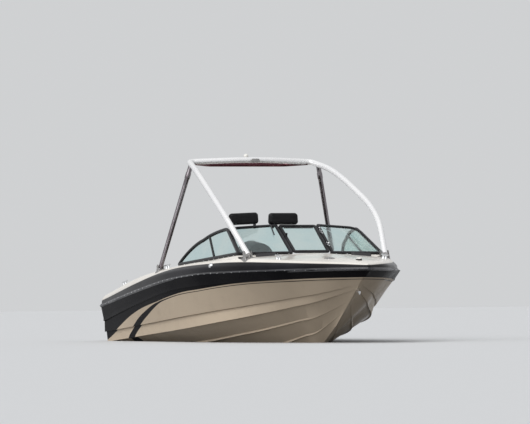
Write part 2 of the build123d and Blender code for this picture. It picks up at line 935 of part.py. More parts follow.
# Throttle lever and its box on the starboard side pad
with BuildPart() as throttle:
    with BuildSketch(Plane.XZ.offset(pad_face_y - 3)):
        with Locations((throttle_x, throttle_z)):
            RectangleRounded(4 * throttle_box_depth, 80, 15)
    extrude(amount=-throttle_box_depth)
    lever_z = (throttle_z + throttle_knob_z) / 2
    with BuildSketch(Plane.XZ.offset(pad_face_y - 3 - throttle_box_depth)):
        with Locations((throttle_x, lever_z)):
            RectangleRounded(22, throttle_knob_z - throttle_z + 22, 10)
    extrude(amount=-14)
    with BuildSketch(Plane.XZ.offset(pad_face_y - throttle_box_depth)):
        with Locations((throttle_x, throttle_knob_z)):
            Circle(15)
    extrude(amount=-2 * throttle_box_depth)
keep(throttle, "throttle")

# Tow pylon on the sole ahead of the engine box
pylon_x = box_front_x + pylon_gap + pylon_plate_radius
neck_z = pylon_top_z - pylon_cap_height - pylon_neck_height
with BuildPart() as pylon:
    with BuildSketch(Plane.XY.offset(floor_z)):
        with Locations((pylon_x, 0)):
            Circle(pylon_plate_radius)
    extrude(amount=pylon_plate_thick)
    with BuildSketch(Plane.XY.offset(floor_z)):
        with Locations((pylon_x, 0)):
            Circle(pylon_radius)
    extrude(amount=neck_z - floor_z)
    with BuildSketch(Plane.XY.offset(neck_z)):
        with Locations((pylon_x, 0)):
            Circle(pylon_neck_radius)
    extrude(amount=pylon_neck_height)
    with BuildSketch(Plane.XY.offset(pylon_top_z - pylon_cap_height)):
        with Locations((pylon_x, 0)):
            Circle(pylon_cap_radius)
    extrude(amount=pylon_cap_height)
keep(pylon, "tow_pylon")

# Windshield
pane_normal = (corner_foot - post_foot).cross(post_head - post_foot).normalized()


def bar(start, end, width, normal):
    """A straight frame bar between two points, its depth along the pane's normal."""
    with BuildPart() as piece:
        with BuildSketch(between(start, end, normal)):
            Rectangle(frame_depth, width)
        extrude(amount=(end - start).length)
    return piece.part


side_plane = Plane(
    origin=corner_foot,
    x_dir=side_tail - corner_foot,
    z_dir=(side_tail - corner_foot).cross(corner_head - corner_foot),
)


def side_outline():
    """The side window's outline: sill, curved top rail and corner post."""
    tail = side_plane.to_local_coords(side_tail)
    head = side_plane.to_local_coords(corner_head)
    crest = side_plane.to_local_coords(side_arc)
    Line((0, 0), (tail.X, tail.Y))
    ThreePointArc((tail.X, tail.Y), (crest.X, crest.Y), (head.X, head.Y))
    Line((head.X, head.Y), (0, 0))


half_post = Vector(0, post_width / 2, 0)
with BuildPart() as windshield_half:
    add(bar(post_foot, post_head, post_width, pane_normal))
    add(bar(post_foot - half_post, corner_foot, rail_width, pane_normal))
    add(bar(post_head - half_post, corner_head, rail_width, pane_normal))
    add(bar(corner_foot, corner_head, post_width, pane_normal))
    add(bar(mullion_foot, mullion_head, mullion_width, side_plane.z_dir))
    with BuildSketch(side_plane.offset(-frame_depth / 2)):
        with BuildLine():
            side_outline()
        make_face()
        offset(amount=-rail_width, mode=Mode.SUBTRACT)
    extrude(amount=frame_depth)

with BuildPart() as windshield_frame:
    add(windshield_half.part)
    mirror(about=Plane.XZ)
    add(deck_form.part, mode=Mode.SUBTRACT)
keep(windshield_frame, "windshield_frame")

with BuildPart() as side_glass:
    with BuildSketch(side_plane.offset(-glass_thick / 2)):
        with BuildLine():
            side_outline()
        make_face()
    extrude(amount=glass_thick)
    mirror(about=Plane.XZ)
    add(windshield_frame.part, mode=Mode.SUBTRACT)
    add(deck_form.part, mode=Mode.SUBTRACT)
keep(side_glass, "side_glass")

with BuildPart() as front_glass:
    for foot, head in ((post_foot, post_head), (corner_foot, corner_head)):
        edge = Plane(origin=(foot + head) / 2, x_dir=head - foot, z_dir=corner_foot - post_foot)
        with BuildSketch(edge):
            Rectangle((head - foot).length, glass_thick)
    loft(ruled=True)
    mirror(about=Plane.XZ)
    add(windshield_frame.part, mode=Mode.SUBTRACT)
    add(side_glass.part, mode=Mode.SUBTRACT)
    add(deck_form.part, mode=Mode.SUBTRACT)
keep(front_glass, "front_glass")

# Centre windshield panel, hinged on the port post
panel_plane = Plane(
    origin=(post_foot.X, 0, post_foot.Z),
    x_dir=(0, 1, 0),
    z_dir=Vector(0, 1, 0).cross(post_head - post_foot),
)
panel_height = (post_head - post_foot).length
panel_foot_y = post_foot.Y - post_width / 2 - panel_gap
panel_head_y = post_head.Y - post_width / 2 - panel_gap


def panel_outline():
    """The centre panel between the two posts."""
    Polyline(
        (-panel_foot_y, 0),
        (panel_foot_y, 0),
        (panel_head_y, panel_height),
        (-panel_head_y, panel_height),
        close=True,
    )


with BuildPart() as panel_frame:
    with BuildSketch(panel_plane.offset(-frame_depth / 2)):
        with BuildLine():
            panel_outline()
        make_face()
        offset(amount=-rail_width, mode=Mode.SUBTRACT)
    extrude(amount=frame_depth)
    add(deck_form.part.moved(Location((0, 0, panel_gap))), mode=Mode.SUBTRACT)
keep(panel_frame, "centre_panel")

with BuildPart() as panel_glass:
    with BuildSketch(panel_plane.offset(-glass_thick / 2)):
        with BuildLine():
            panel_outline()
        make_face()
        offset(amount=-rail_width)
    extrude(amount=glass_thick)
keep(panel_glass, "centre_glass")

# Hinge axis of the centre panel, along the gap beside the port post
axis_lift = frame_depth / 2 + panel_hinge_lift
axis_foot = panel_plane.from_local_coords(Vector(panel_foot_y + panel_gap / 2, 0, axis_lift))
axis_head = panel_plane.from_local_coords(Vector(panel_head_y + panel_gap / 2, panel_height, axis_lift))
axis_run = (axis_head - axis_foot).normalized()
panel_hinge_planes = [
    Plane(origin=axis_foot + (axis_head - axis_foot) * share, x_dir=(0, -1, 0), z_dir=axis_run)
    for share in PANEL_HINGE_SHARES
]


def deck_edge(x, reach, lift):
    """The port edge of the deck near a station as a block, raised by lift."""
    with BuildPart() as block:
        for station in (x - reach, x, x + reach):
            _, _, shoulder_y, shoulder_z, top_y, top_z, _ = deck_row(station)
            inner_y = top_y - 2 * reach
            with BuildSketch(Plane.YZ.offset(station)):
                with BuildLine():
                    Polyline(
                        (inner_y, deck_z(station, inner_y) + lift),
                        (top_y, top_z + lift),
                        (shoulder_y, shoulder_z + lift),
                        (shoulder_y, shoulder_z - reach),
                        (inner_y, shoulder_z - reach),
                        close=True,
                    )
                make_face()
        loft(ruled=True)
    return block.part


def tower_foot(foot, run, tube_radius):
    """A plate on the port deck with two cheeks and a pin that hold the end of a tube."""
    pin = foot + run * foot_pin_reach
    inner = tube_radius + soft_gap
    outer = inner + foot_cheek_thick
    knob_radius = tube_radius * 0.8
    plate_half = 2 * tube_radius
    with BuildPart() as piece:
        with BuildSketch(Plane.XY.offset(foot.Z - plate_half)):
            with Locations((foot.X, foot.Y)):
                RectangleRounded(2 * plate_half, 2 * outer + tube_radius, tube_radius / 2)
        extrude(amount=2 * plate_half)
        add(deck_edge(foot.X, 1.1 * plate_half, foot_bed + foot_plate_thick), mode=Mode.INTERSECT)
        for start in (foot.Y - outer, foot.Y + inner):
            with BuildSketch(Plane.XZ.offset(-start)):
                with Locations((pin.X, pin.Z)):
                    Circle(knob_radius)
                with BuildLine():
                    Polyline(
                        (pin.X - knob_radius, pin.Z),
                        (foot.X - 1.5 * tube_radius, foot.Z - plate_half),
                        (foot.X + 1.5 * tube_radius, foot.Z - plate_half),
                        (pin.X + knob_radius, pin.Z),
                        close=True,
                    )
                make_face()
            extrude(amount=-foot_cheek_thick)
        with BuildSketch(Plane.XZ.offset(-(foot.Y - outer - foot_cheek_thick))):
            with Locations((pin.X, pin.Z)):
                Circle(foot_pin_radius)
        extrude(amount=-2 * (outer + foot_cheek_thick))
        add(deck_edge(foot.X, 1.1 * plate_half, foot_bed), mode=Mode.SUBTRACT)
    return piece.part


# Tower hoop, one bent tube from foot to foot
with BuildPart() as hoop:
    with BuildLine() as hoop_path:
        port = [(x, y, z) for x, y, z, _ in HOOP_POINTS]
        bends = [bend for *_, bend in HOOP_POINTS[1:]]
        FilletPolyline(
            *(port + [(x, -y, z) for x, y, z in reversed(port[:-1])]),
            radius=bends + bends[-2::-1],
        )
    with BuildSketch(Plane(origin=hoop_path.line @ 0, z_dir=hoop_path.line % 0)):
        Circle(hoop_radius)
    sweep()
keep(hoop, "tower_hoop")

with BuildPart() as rear_bar:
    with BuildLine() as rear_path:
        FilletPolyline(
            (2440, 700, 2066),
            (rear_bar_x, rear_bar_half_width, rear_bar_z),
            (rear_bar_x, -rear_bar_half_width, rear_bar_z),
            (2440, -700, 2066),
            radius=180,
        )
    with BuildSketch(Plane(origin=rear_path.line @ 0, z_dir=rear_path.line % 0)):
        Circle(rear_bar_radius)
    sweep()
    add(hoop.part, mode=Mode.SUBTRACT)
keep(rear_bar, "tower_rear_bar")

# Rear legs, each with a clamp collar near its head
leg_run = (leg_head - leg_foot).normalized()
with BuildPart() as legs:
    with BuildSketch(Plane(origin=leg_foot, z_dir=leg_run)):
        Circle(leg_foot_radius)
    with BuildSketch(Plane(origin=leg_head, z_dir=leg_run)):
        Circle(leg_head_radius)
    loft(ruled=True)
    with BuildSketch(Plane(origin=leg_head - leg_run * collar_drop, z_dir=leg_run)):
        Circle(collar_radius)
    extrude(amount=collar_length)
    mirror(about=Plane.XZ)
    add(hoop.part, mode=Mode.SUBTRACT)
    add(rear_bar.part, mode=Mode.SUBTRACT)
keep(legs, "tower_legs")

hoop_foot = Vector(*HOOP_POINTS[0][:3])
hoop_run = (Vector(*HOOP_POINTS[1][:3]) - hoop_foot).normalized()
with BuildPart() as feet:
    add(tower_foot(hoop_foot, hoop_run, hoop_radius))
    add(tower_foot(leg_foot, leg_run, leg_foot_radius))
    add(hoop.part, mode=Mode.SUBTRACT)
    add(legs.part, mode=Mode.SUBTRACT)
    mirror(about=Plane.XZ)
keep(feet, "tower_feet")

# All-round light on the rear bar
with BuildPart() as top_light:
    with BuildSketch(Plane.XY.offset(rear_bar_z)):
        with Locations((rear_bar_x, 0)):
            Circle(light_stem_radius)
    extrude(amount=light_stem_height)
    with BuildSketch(Plane.XY.offset(rear_bar_z + light_stem_height)):
        with Locations((rear_bar_x, 0)):
            Circle(light_radius)
    extrude(amount=light_height, taper=6)
    fillet(top_light.faces().sort_by(Axis.Z)[-1].edges(), radius=12)
    add(rear_bar.part, mode=Mode.SUBTRACT)
keep(top_light, "top_light")

# Mirrors over the windshield's top rail
with BuildPart() as mirrors:
    for x, y, z in MIRROR_PLACES:
        with BuildSketch(Plane.YZ.offset(x)):
            with Locations((y, z)):
                RectangleRounded(mirror_width, mirror_height, mirror_corner)
        extrude(amount=mirror_depth / 2, both=True)
    fillet(mirrors.faces().filter_by(Axis.X).edges(), radius=12)
keep(mirrors, "mirrors")

with BuildPart() as mirror_arms:
    for (x, mirror_y, mirror_z), side in zip(MIRROR_PLACES, (1, -1)):
        arm_y = mirror_y + side * (mirror_width / 2 - 60)
        with BuildSketch(Plane.XY.offset(post_head.Z - rail_width)):
            with Locations((x, arm_y)):
                RectangleRounded(mirror_depth * 0.6, mirror_arm_width, 8)
        extrude(amount=mirror_z - post_head.Z)
    add(mirrors.part, mode=Mode.SUBTRACT)
    add(windshield_frame.part, mode=Mode.SUBTRACT)
    add(front_glass.part, mode=Mode.SUBTRACT)
keep(mirror_arms, "mirror_arms")

# Wiper on the starboard front pane
wiper_head = flip(post_head + (corner_head - post_head) * 0.12) + pane_normal * wiper_lift
wiper_tail = flip(post_foot + (corner_foot - post_foot) * 0.22) + pane_normal * wiper_lift
with BuildPart() as wiper:
    with BuildSketch(between(wiper_head, wiper_tail, pane_normal)):
        Rectangle(wiper_width / 2, wiper_width)
    extrude(amount=wiper_length)
    add(windshield_frame.part, mode=Mode.SUBTRACT)
keep(wiper, "wiper")

# Centre panel hinges, and the fixed lugs of all hinges
leaf_top = leaf_thick - panel_hinge_lift
leaf_block = ((0, -panel_hinge_lift), (panel_hinge_radius, 0))
with BuildPart() as panel_hinges:
    add(
        hinge_tongues_part(
            panel_hinge_planes,
            panel_hinge_radius,
            [((0, -panel_hinge_lift), (leaf_reach, leaf_top)), leaf_block],
        )
    )
    add(panel_frame.part, mode=Mode.SUBTRACT)
keep(panel_hinges, "panel_hinges")

with BuildPart() as hinge_lugs:
    add(
        hinge_lugs_part(
            lid_hinge_planes, hinge_radius, [((-hinge_radius, -3 * hinge_offset), (hinge_radius, 0))]
        )
    )
    add(
        hinge_lugs_part(
            panel_hinge_planes,
            panel_hinge_radius,
            [
                ((-leaf_reach, -panel_hinge_lift - leaf_sink), (0, leaf_top)),
                ((-panel_hinge_radius, -panel_hinge_lift), (0, 0)),
            ],
        )
    )
    add(deck_form.part, mode=Mode.SUBTRACT)
    add(windshield_frame.part, mode=Mode.SUBTRACT)
    add(hinge_lugs_part(box_hinge_planes, hinge_radius, [((0, -lug_drop), (hinge_offset, 0))]))
keep(hinge_lugs, "hinge_lugs")

# Louvred vents in the cowl under the windshield
with BuildPart() as vents:
    for side in (-1, 1):
        with BuildSketch(Plane.XY):
            with Locations((vent_x, side * vent_y)):
                RectangleRounded(vent_width, vent_length, 15)
        extrude(amount=half_space)
    add(deck_form.part.moved(Location((0, 0, vent_height))), mode=Mode.INTERSECT)
    add(deck_form.part, mode=Mode.SUBTRACT)
    with BuildSketch(Plane.XY.offset(deck_z(vent_x, vent_y) + vent_height / 3)):
        for side in (-1, 1):
            with Locations((vent_x, side * vent_y)):
                with GridLocations(vent_width / (slat_count + 1), 0, slat_count, 1):
                    Rectangle(vent_width / (2 * slat_count + 2), vent_length * 0.8)
    extrude(amount=half_space, mode=Mode.SUBTRACT)
    add(windshield_frame.part, mode=Mode.SUBTRACT)
keep(vents, "cowl_vents")

# Horn cleats
with BuildPart() as cleats:
    for x, y in CLEAT_PLACES:
        seat = deck_plane(x, y)
        with BuildSketch(seat):
            with GridLocations(cleat_post_pitch, 0, 2, 1):
                Circle(cleat_post_radius)
        extrude(amount=cleat_rise + cleat_horn / 2)
        with BuildSketch(seat.offset(cleat_rise)):
            SlotOverall(cleat_length, cleat_width)
        extrude(amount=cleat_horn)
    mirror(about=Plane.XZ)
keep(cleats, "cleats")

with BuildPart() as bow_light:
    with BuildSketch(Plane.XY.offset(deck_z(bow_light_x, 0) - 2 * deck_skin)):
        with Locations((bow_light_x, 0)):
            SlotOverall(bow_light_length, bow_light_width)
    extrude(amount=75, taper=8)
    fillet(bow_light.faces().sort_by(Axis.Z)[-1].edges(), radius=6)
    add(deck_form.part, mode=Mode.SUBTRACT)
keep(bow_light, "bow_light")

# Filler cap on the starboard side of the deck
with BuildPart() as filler_cap:
    with BuildSketch(Plane.XZ):
        with Locations((filler_x, filler_z)):
            Circle(filler_radius)
    extrude(amount=half_space)
    add(deck_form.part.moved(Location((0, -filler_proud, 0))), mode=Mode.INTERSECT)
    add(deck_form.part, mode=Mode.SUBTRACT)
keep(filler_cap, "filler_cap")

# Bow eye through the stem, and two eyes on the transom
with BuildPart() as bow_eye:
    with BuildSketch(Plane.XZ.offset(-eye_thick / 2)):
        with Locations((bow_eye_x, bow_eye_z)):
            Circle(eye_outer)
            with Locations((-2 * eye_outer, 1.4 * eye_outer)):
                Rectangle(4 * eye_outer, 1.6 * eye_outer, rotation=-35)
            Circle(eye_bore, mode=Mode.SUBTRACT)
    extrude(amount=eye_thick)
    add(hull_form.part, mode=Mode.SUBTRACT)
keep(bow_eye, "bow_eye")

with BuildPart() as transom_eyes:
    for side in (-1, 1):
        with BuildSketch(Plane.XZ.offset(-side * transom_eye_y - eye_thick / 2)):
            with Locations((transom_eye_x, transom_eye_z)):
                Circle(eye_outer)
                with Locations((-transom_eye_x / 2, 0)):
                    Rectangle(-transom_eye_x, 2 * eye_outer)
                Circle(eye_bore, mode=Mode.SUBTRACT)
        extrude(amount=eye_thick)
keep(transom_eyes, "transom_eyes")

# Exhaust outlets low on the transom
with BuildPart() as exhausts:
    with BuildSketch(Plane.YZ):
        with Locations((exhaust_y, exhaust_z), (-exhaust_y, exhaust_z)):
            Circle(exhaust_radius)
            Circle(exhaust_bore, mode=Mode.SUBTRACT)
    extrude(amount=-exhaust_length)
keep(exhausts, "exhaust_outlets")

# Swim platform with slots between its slats
platform_aft_x = -platform_gap - platform_depth
with BuildPart() as platform:
    with BuildSketch(Plane.XY.offset(platform_top_z - platform_thick)):
        with BuildLine():
            FilletPolyline(
                (-platform_gap, platform_half_width),
                (platform_aft_x, platform_half_width - platform_taper),
                (platform_aft_x, platform_taper - platform_half_width),
                (-platform_gap, -platform_half_width),
                radius=platform_corner,
                close=True,
            )
        make_face()
        with Locations((-platform_gap - platform_depth / 2, 0)):
            with GridLocations(slot_pitch, 0, slot_count, 1):
                SlotOverall(slot_length, slot_width, rotation=90, mode=Mode.SUBTRACT)
    extrude(amount=platform_thick)
keep(platform, "swim_platform")

platform_bottom_z = platform_top_z - platform_thick
with BuildPart() as brackets:
    for side in (-1, 1):
        with BuildSketch(Plane.XZ.offset(-side * bracket_y - bracket_thick / 2)):
            with BuildLine():
                Polyline(
                    (0, platform_bottom_z),
                    (0, bracket_foot_z),
                    (-30, bracket_foot_z),
                    (-bracket_reach, platform_bottom_z - 40),
                    (-bracket_reach, platform_bottom_z),
                    close=True,
                )
            make_face()
        extrude(amount=bracket_thick)
keep(brackets, "platform_brackets")

# Strut that carries the shaft
with BuildPart() as strut:
    with BuildSketch(shaft_plane(strut_x - strut_boss_length / 2)):
        Circle(strut_boss_radius)
    extrude(amount=strut_boss_length)
    with BuildSketch(Plane.XY.offset(shaft_plane(strut_x).origin.Z)):
        with Locations((strut_x, 0)):
            SlotOverall(strut_chord, strut_thick)
    extrude(amount=-propeller_z)
    add(hull_form.part, mode=Mode.SUBTRACT)
    with BuildSketch(shaft_plane(strut_x - strut_boss_length)):
        Circle(shaft_radius + bearing_gap)
    extrude(amount=2 * strut_boss_length, mode=Mode.SUBTRACT)
keep(strut, "shaft_strut")

# Propeller and its shaft, one turning body
with BuildPart() as shaft:
    with BuildSketch(shaft_plane(propeller_x - shaft_overhang)):
        Circle(shaft_radius)
    extrude(amount=(shaft_top_x - propeller_x) / shaft_run.X)
keep(shaft, "propeller_shaft")

# reach, chord, pitch angle
BLADE_ROWS = [
    (20, 90, math.radians(62)),
    (90, 130, math.radians(40)),
    (propeller_radius, 60, math.radians(24)),
]
hub_back = propeller_centre - shaft_run * (hub_length / 2)
with BuildPart() as propeller:
    with BuildSketch(Plane(origin=hub_back, x_dir=(0, 1, 0), z_dir=shaft_run)):
        Circle(hub_radius)
    extrude(amount=hub_length)
    for index in range(blade_count):
        turn = 2 * math.pi * index / blade_count
        radial = Vector(0, 1, 0) * math.cos(turn) + shaft_run.cross(Vector(0, 1, 0)) * math.sin(turn)
        tangent = shaft_run.cross(radial)
        for reach, chord, pitch in BLADE_ROWS:
            pitched = tangent * math.cos(pitch) + shaft_run * math.sin(pitch)
            with BuildSketch(
                Plane(origin=propeller_centre + radial * reach, x_dir=pitched, z_dir=radial)
            ):
                SlotOverall(chord, blade_thick)
        loft()
    add(shaft.part, mode=Mode.SUBTRACT)
keep(propeller, "propeller")

# Rudder blade and stock
with BuildPart() as rudder:
    for z, chord in ((rudder_tip_z, rudder_tip_chord), (rudder_head_z, rudder_chord)):
        with BuildSketch(Plane.XY.offset(z)):
            with Locations((rudder_x - rudder_balance, 0)):
                Ellipse(chord / 2, rudder_thick / 2)
    loft()
    with BuildSketch(Plane.XY.offset(rudder_head_z - stock_lap)):
        with Locations((rudder_x, 0)):
            Circle(rudder_stock_radius)
    extrude(amount=rudder_top_z - rudder_head_z + stock_lap)
keep(rudder, "rudder")

# Tracking fins under the keel
with BuildPart() as fins:
    for x in FIN_PLACES:
        with BuildSketch(Plane.XZ.offset(-fin_thick / 2)):
            with BuildLine():
                Polyline(
                    (x - 90, sole_z), (x - 60, fin_tip_z), (x + 30, fin_tip_z), (x + 110, sole_z), close=True
                )
            make_face()
        extrude(amount=fin_thick)
    add(hull_form.part, mode=Mode.SUBTRACT)
keep(fins, "tracking_fins")
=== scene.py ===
# %% [markdown]
# # An inboard tow boat, dressed piece by piece
#
# The solids of the boat are already made and packed: hull, deck, windshield, tower, seats and running
# gear, each in metres, X forward from the transom, Y to port and Z up from the still waterline. This
# lesson dresses them. Where a solid has the right shape it only gets a finish; where the real thing is
# smoother or softer, a finer piece stands in its place and rides on the same body.

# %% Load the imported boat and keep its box
import json
import math
import random

import bmesh
import bpy
from mathutils import Matrix, Vector
from mathutils.bvhtree import BVHTree

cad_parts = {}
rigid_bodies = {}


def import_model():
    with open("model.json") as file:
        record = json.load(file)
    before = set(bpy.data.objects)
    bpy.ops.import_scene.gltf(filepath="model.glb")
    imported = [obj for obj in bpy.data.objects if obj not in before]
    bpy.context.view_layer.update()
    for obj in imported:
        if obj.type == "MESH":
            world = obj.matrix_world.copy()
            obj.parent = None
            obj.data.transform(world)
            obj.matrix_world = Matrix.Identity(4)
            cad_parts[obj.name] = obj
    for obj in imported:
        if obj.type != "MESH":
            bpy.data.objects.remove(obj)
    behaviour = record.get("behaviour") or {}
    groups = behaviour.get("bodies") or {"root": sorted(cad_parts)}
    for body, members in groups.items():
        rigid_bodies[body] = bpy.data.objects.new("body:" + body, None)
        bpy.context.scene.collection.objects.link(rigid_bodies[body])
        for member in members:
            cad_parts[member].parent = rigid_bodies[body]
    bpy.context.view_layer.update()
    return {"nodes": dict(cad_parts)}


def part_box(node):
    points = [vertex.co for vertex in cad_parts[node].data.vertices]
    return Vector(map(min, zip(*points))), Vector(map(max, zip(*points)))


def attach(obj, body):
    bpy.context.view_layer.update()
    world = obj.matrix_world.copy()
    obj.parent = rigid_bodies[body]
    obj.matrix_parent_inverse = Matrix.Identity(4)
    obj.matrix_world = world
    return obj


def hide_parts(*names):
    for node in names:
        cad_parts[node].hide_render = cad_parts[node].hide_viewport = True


for leftover in list(bpy.data.objects):
    bpy.data.objects.remove(leftover)
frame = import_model()
nodes = frame["nodes"]
scene = bpy.context.scene

# %% [markdown]
# Most pieces here are meshes worked out from a short table of numbers, so a few helpers come first. One
# turns points and faces into an object, one smooths it but keeps its real edges, and one says which
# body it rides on, which finish it has and which solid it stands for. Small helpers keep every later
# cell about the boat and not about Blender's bookkeeping.

# %% Helpers for meshes
def make_piece(name, points, faces):
    """An object at the origin from points in metres and faces."""
    mesh = bpy.data.meshes.new(name)
    mesh.from_pydata([tuple(p) for p in points], [], faces)
    mesh.update()
    obj = bpy.data.objects.new(name, mesh)
    scene.collection.objects.link(obj)
    return obj


def tidy_mesh(obj, merge=1e-5):
    """Merges doubled points and turns every face outward."""
    form = bmesh.new()
    form.from_mesh(obj.data)
    bmesh.ops.remove_doubles(form, verts=form.verts, dist=merge)
    bmesh.ops.recalc_face_normals(form, faces=form.faces)
    form.to_mesh(obj.data)
    form.free()
    return obj


def ringed(name, rings, caps="out"):
    """A skin over rings of points; its caps face out or in, and None joins the last ring to the first."""
    rows, count = len(rings), len(rings[0])
    faces = [(row * count + k, row * count + (k + 1) % count,
              (row + 1) % rows * count + (k + 1) % count, (row + 1) % rows * count + k)
             for row in range(rows if caps is None else rows - 1) for k in range(count)]
    first, last = range(count), range((rows - 1) * count, rows * count)
    if caps == "out":
        faces += [tuple(reversed(first)), tuple(last)]
    elif caps == "in":
        faces += [tuple(first), tuple(reversed(last))]
    return tidy_mesh(make_piece(name, [p for ring in rings for p in ring], faces))


def other_side(points):
    """The same points across the boat, last first."""
    return [Vector((p.x, -p.y, p.z)) for p in reversed(points)]


def on_curve(start, bend, end, t):
    """A place on the smooth curve from start to end that bend pulls to itself."""
    return start * (1 - t) ** 2 + bend * 2 * t * (1 - t) + end * t**2


def eased_corner(before, corner, after, reach, most, steps):
    """The small curve in place of a corner, its reach capped at a share of each side."""
    start = corner + (before - corner).normalized() * min(reach, (before - corner).length * most)
    end = corner + (after - corner).normalized() * min(reach, (after - corner).length * most)
    return [on_curve(start, corner, end, step / steps) for step in range(steps + 1)]


def smooth(obj, angle=35.0):
    """Shades faces smooth and keeps edges sharper than an angle."""
    obj.data.shade_smooth()
    obj.data.set_sharp_from_angle(angle=math.radians(angle))
    return obj


def apply_modifiers(obj):
    """Turns the evaluated shape into the object's own plain mesh."""
    graph = bpy.context.evaluated_depsgraph_get()
    graph.update()
    mesh = bpy.data.meshes.new_from_object(obj.evaluated_get(graph))
    obj.modifiers.clear()
    old = obj.data
    obj.data = mesh
    bpy.data.meshes.remove(old)
    return obj


def cut(obj, *cutters):
    """Cuts closed meshes out of a closed mesh; the cut faces keep the cutter's material."""
    for cutter in cutters:
        step = obj.modifiers.new("cut", "BOOLEAN")
        step.operation = "DIFFERENCE"
        step.solver = "EXACT"
        step.material_mode = "TRANSFER"
        step.object = cutter
        apply_modifiers(obj)
    return obj


def drop(*objs):
    """Removes helper objects that were only cutters."""
    for obj in objs:
        bpy.data.objects.remove(obj)


def dress(obj, body, material=None, stands_for=()):
    """Gives a piece its material, its body and the solids it replaces."""
    if material is not None:
        obj.data.materials.clear()
        obj.data.materials.append(material)
    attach(obj, body)
    if stands_for:
        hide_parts(*stands_for)
    return obj


def paint(node, material):
    """Gives a kept solid its finish."""
    nodes[node].data.materials.clear()
    nodes[node].data.materials.append(material)


def report(obj):
    """Prints how large a piece is."""
    print(obj.name, "faces", len(obj.data.polygons))
# %% [markdown]
# ## Finishes
#
# Every surface gets a procedural material. A finish is more than a colour: gelcoat has a faint orange
# peel and wipe marks, vinyl has pebble grain, metal has fine brushing, and plastic gets dull where hands
# and weather reach it. The effects that several finishes share are node groups, built once here.

# %% Node helpers
def add_node(tree, kind, **settings):
    """A node with its properties set."""
    node = tree.nodes.new(kind)
    for key, value in settings.items():
        setattr(node, key, value)
    return node


def math_node(tree, operation, first, second=None, third=None, clamp=False):
    """A math node fed by sockets or plain numbers; gives its output socket."""
    node = add_node(tree, "ShaderNodeMath", operation=operation, use_clamp=clamp)
    for index, value in enumerate((first, second, third)):
        if value is None:
            continue
        if isinstance(value, (int, float)):
            node.inputs[index].default_value = value
        else:
            tree.links.new(value, node.inputs[index])
    return node.outputs[0]


def mix_colours(tree, share, low, high, blend_type="MIX"):
    """Mixes two colours by a share socket or number; gives the colour socket."""
    node = add_node(tree, "ShaderNodeMix", data_type="RGBA", blend_type=blend_type)
    for socket, value in ((node.inputs[0], share), (node.inputs[6], low), (node.inputs[7], high)):
        if isinstance(value, (int, float)):
            socket.default_value = value
        elif isinstance(value, tuple):
            socket.default_value = (*value, 1.0)
        else:
            tree.links.new(value, socket)
    return node.outputs[2]


def noise(tree, vector, scale, detail=3.0, roughness=0.5):
    """A noise texture's value socket."""
    node = add_node(tree, "ShaderNodeTexNoise")
    node.inputs["Scale"].default_value = scale
    node.inputs["Detail"].default_value = detail
    node.inputs["Roughness"].default_value = roughness
    tree.links.new(vector, node.inputs["Vector"])
    return node.outputs[0]


def ramp(tree, value, low, high, start=0.0, end=1.0):
    """Maps a value range smoothly to another range."""
    node = add_node(tree, "ShaderNodeMapRange", interpolation_type="SMOOTHSTEP")
    for key, number in (("From Min", low), ("From Max", high), ("To Min", start), ("To Max", end)):
        node.inputs[key].default_value = number
    tree.links.new(value, node.inputs["Value"])
    return node.outputs[0]


def new_group(name, inputs, outputs):
    """A shader node group with named sockets; gives the tree and its two end nodes."""
    tree = bpy.data.node_groups.new(name, "ShaderNodeTree")
    for title, kind, default in inputs:
        socket = tree.interface.new_socket(title, in_out="INPUT", socket_type=kind)
        if default is not None:
            socket.default_value = default
    for title, kind in outputs:
        tree.interface.new_socket(title, in_out="OUTPUT", socket_type=kind)
    return tree, tree.nodes.new("NodeGroupInput"), tree.nodes.new("NodeGroupOutput")


def use_group(tree, group, **values):
    """Places a group in a material with its own values."""
    node = add_node(tree, "ShaderNodeGroup", node_tree=group)
    for key, value in values.items():
        socket = node.inputs[key.replace("_", " ")]
        if isinstance(value, bpy.types.NodeSocket):
            tree.links.new(value, socket)
        else:
            socket.default_value = value
    return node

# %% [markdown]
# Three effects come back in nearly every finish. *Weather* is a slow, large mottling with finer dust in
# it. *Pebble* is the grain of moulded plastic and vinyl as a height. *Brushing* is a stretched noise that
# reads as polishing marks on metal.

# %% Shared effect: weather
weather, ends_in, ends_out = new_group(
    "weather",
    [("Position", "NodeSocketVector", None), ("Patch Size", "NodeSocketFloat", 0.5),
     ("Dust Size", "NodeSocketFloat", 0.02), ("Dust Share", "NodeSocketFloat", 0.4)],
    [("Mask", "NodeSocketFloat"), ("Fine", "NodeSocketFloat")],
)
patch_scale = math_node(weather, "DIVIDE", 1.0, ends_in.outputs["Patch Size"])
dust_scale = math_node(weather, "DIVIDE", 1.0, ends_in.outputs["Dust Size"])
patches = add_node(weather, "ShaderNodeTexNoise")
weather.links.new(ends_in.outputs["Position"], patches.inputs["Vector"])
weather.links.new(patch_scale, patches.inputs["Scale"])
dust = add_node(weather, "ShaderNodeTexNoise")
weather.links.new(ends_in.outputs["Position"], dust.inputs["Vector"])
weather.links.new(dust_scale, dust.inputs["Scale"])
broad = ramp(weather, patches.outputs[0], 0.35, 0.7)
fine = ramp(weather, dust.outputs[0], 0.4, 0.75)
share = math_node(weather, "MULTIPLY", fine, ends_in.outputs["Dust Share"])
weather.links.new(math_node(weather, "ADD", broad, share, clamp=True), ends_out.inputs["Mask"])
weather.links.new(fine, ends_out.inputs["Fine"])
print("group", weather.name)

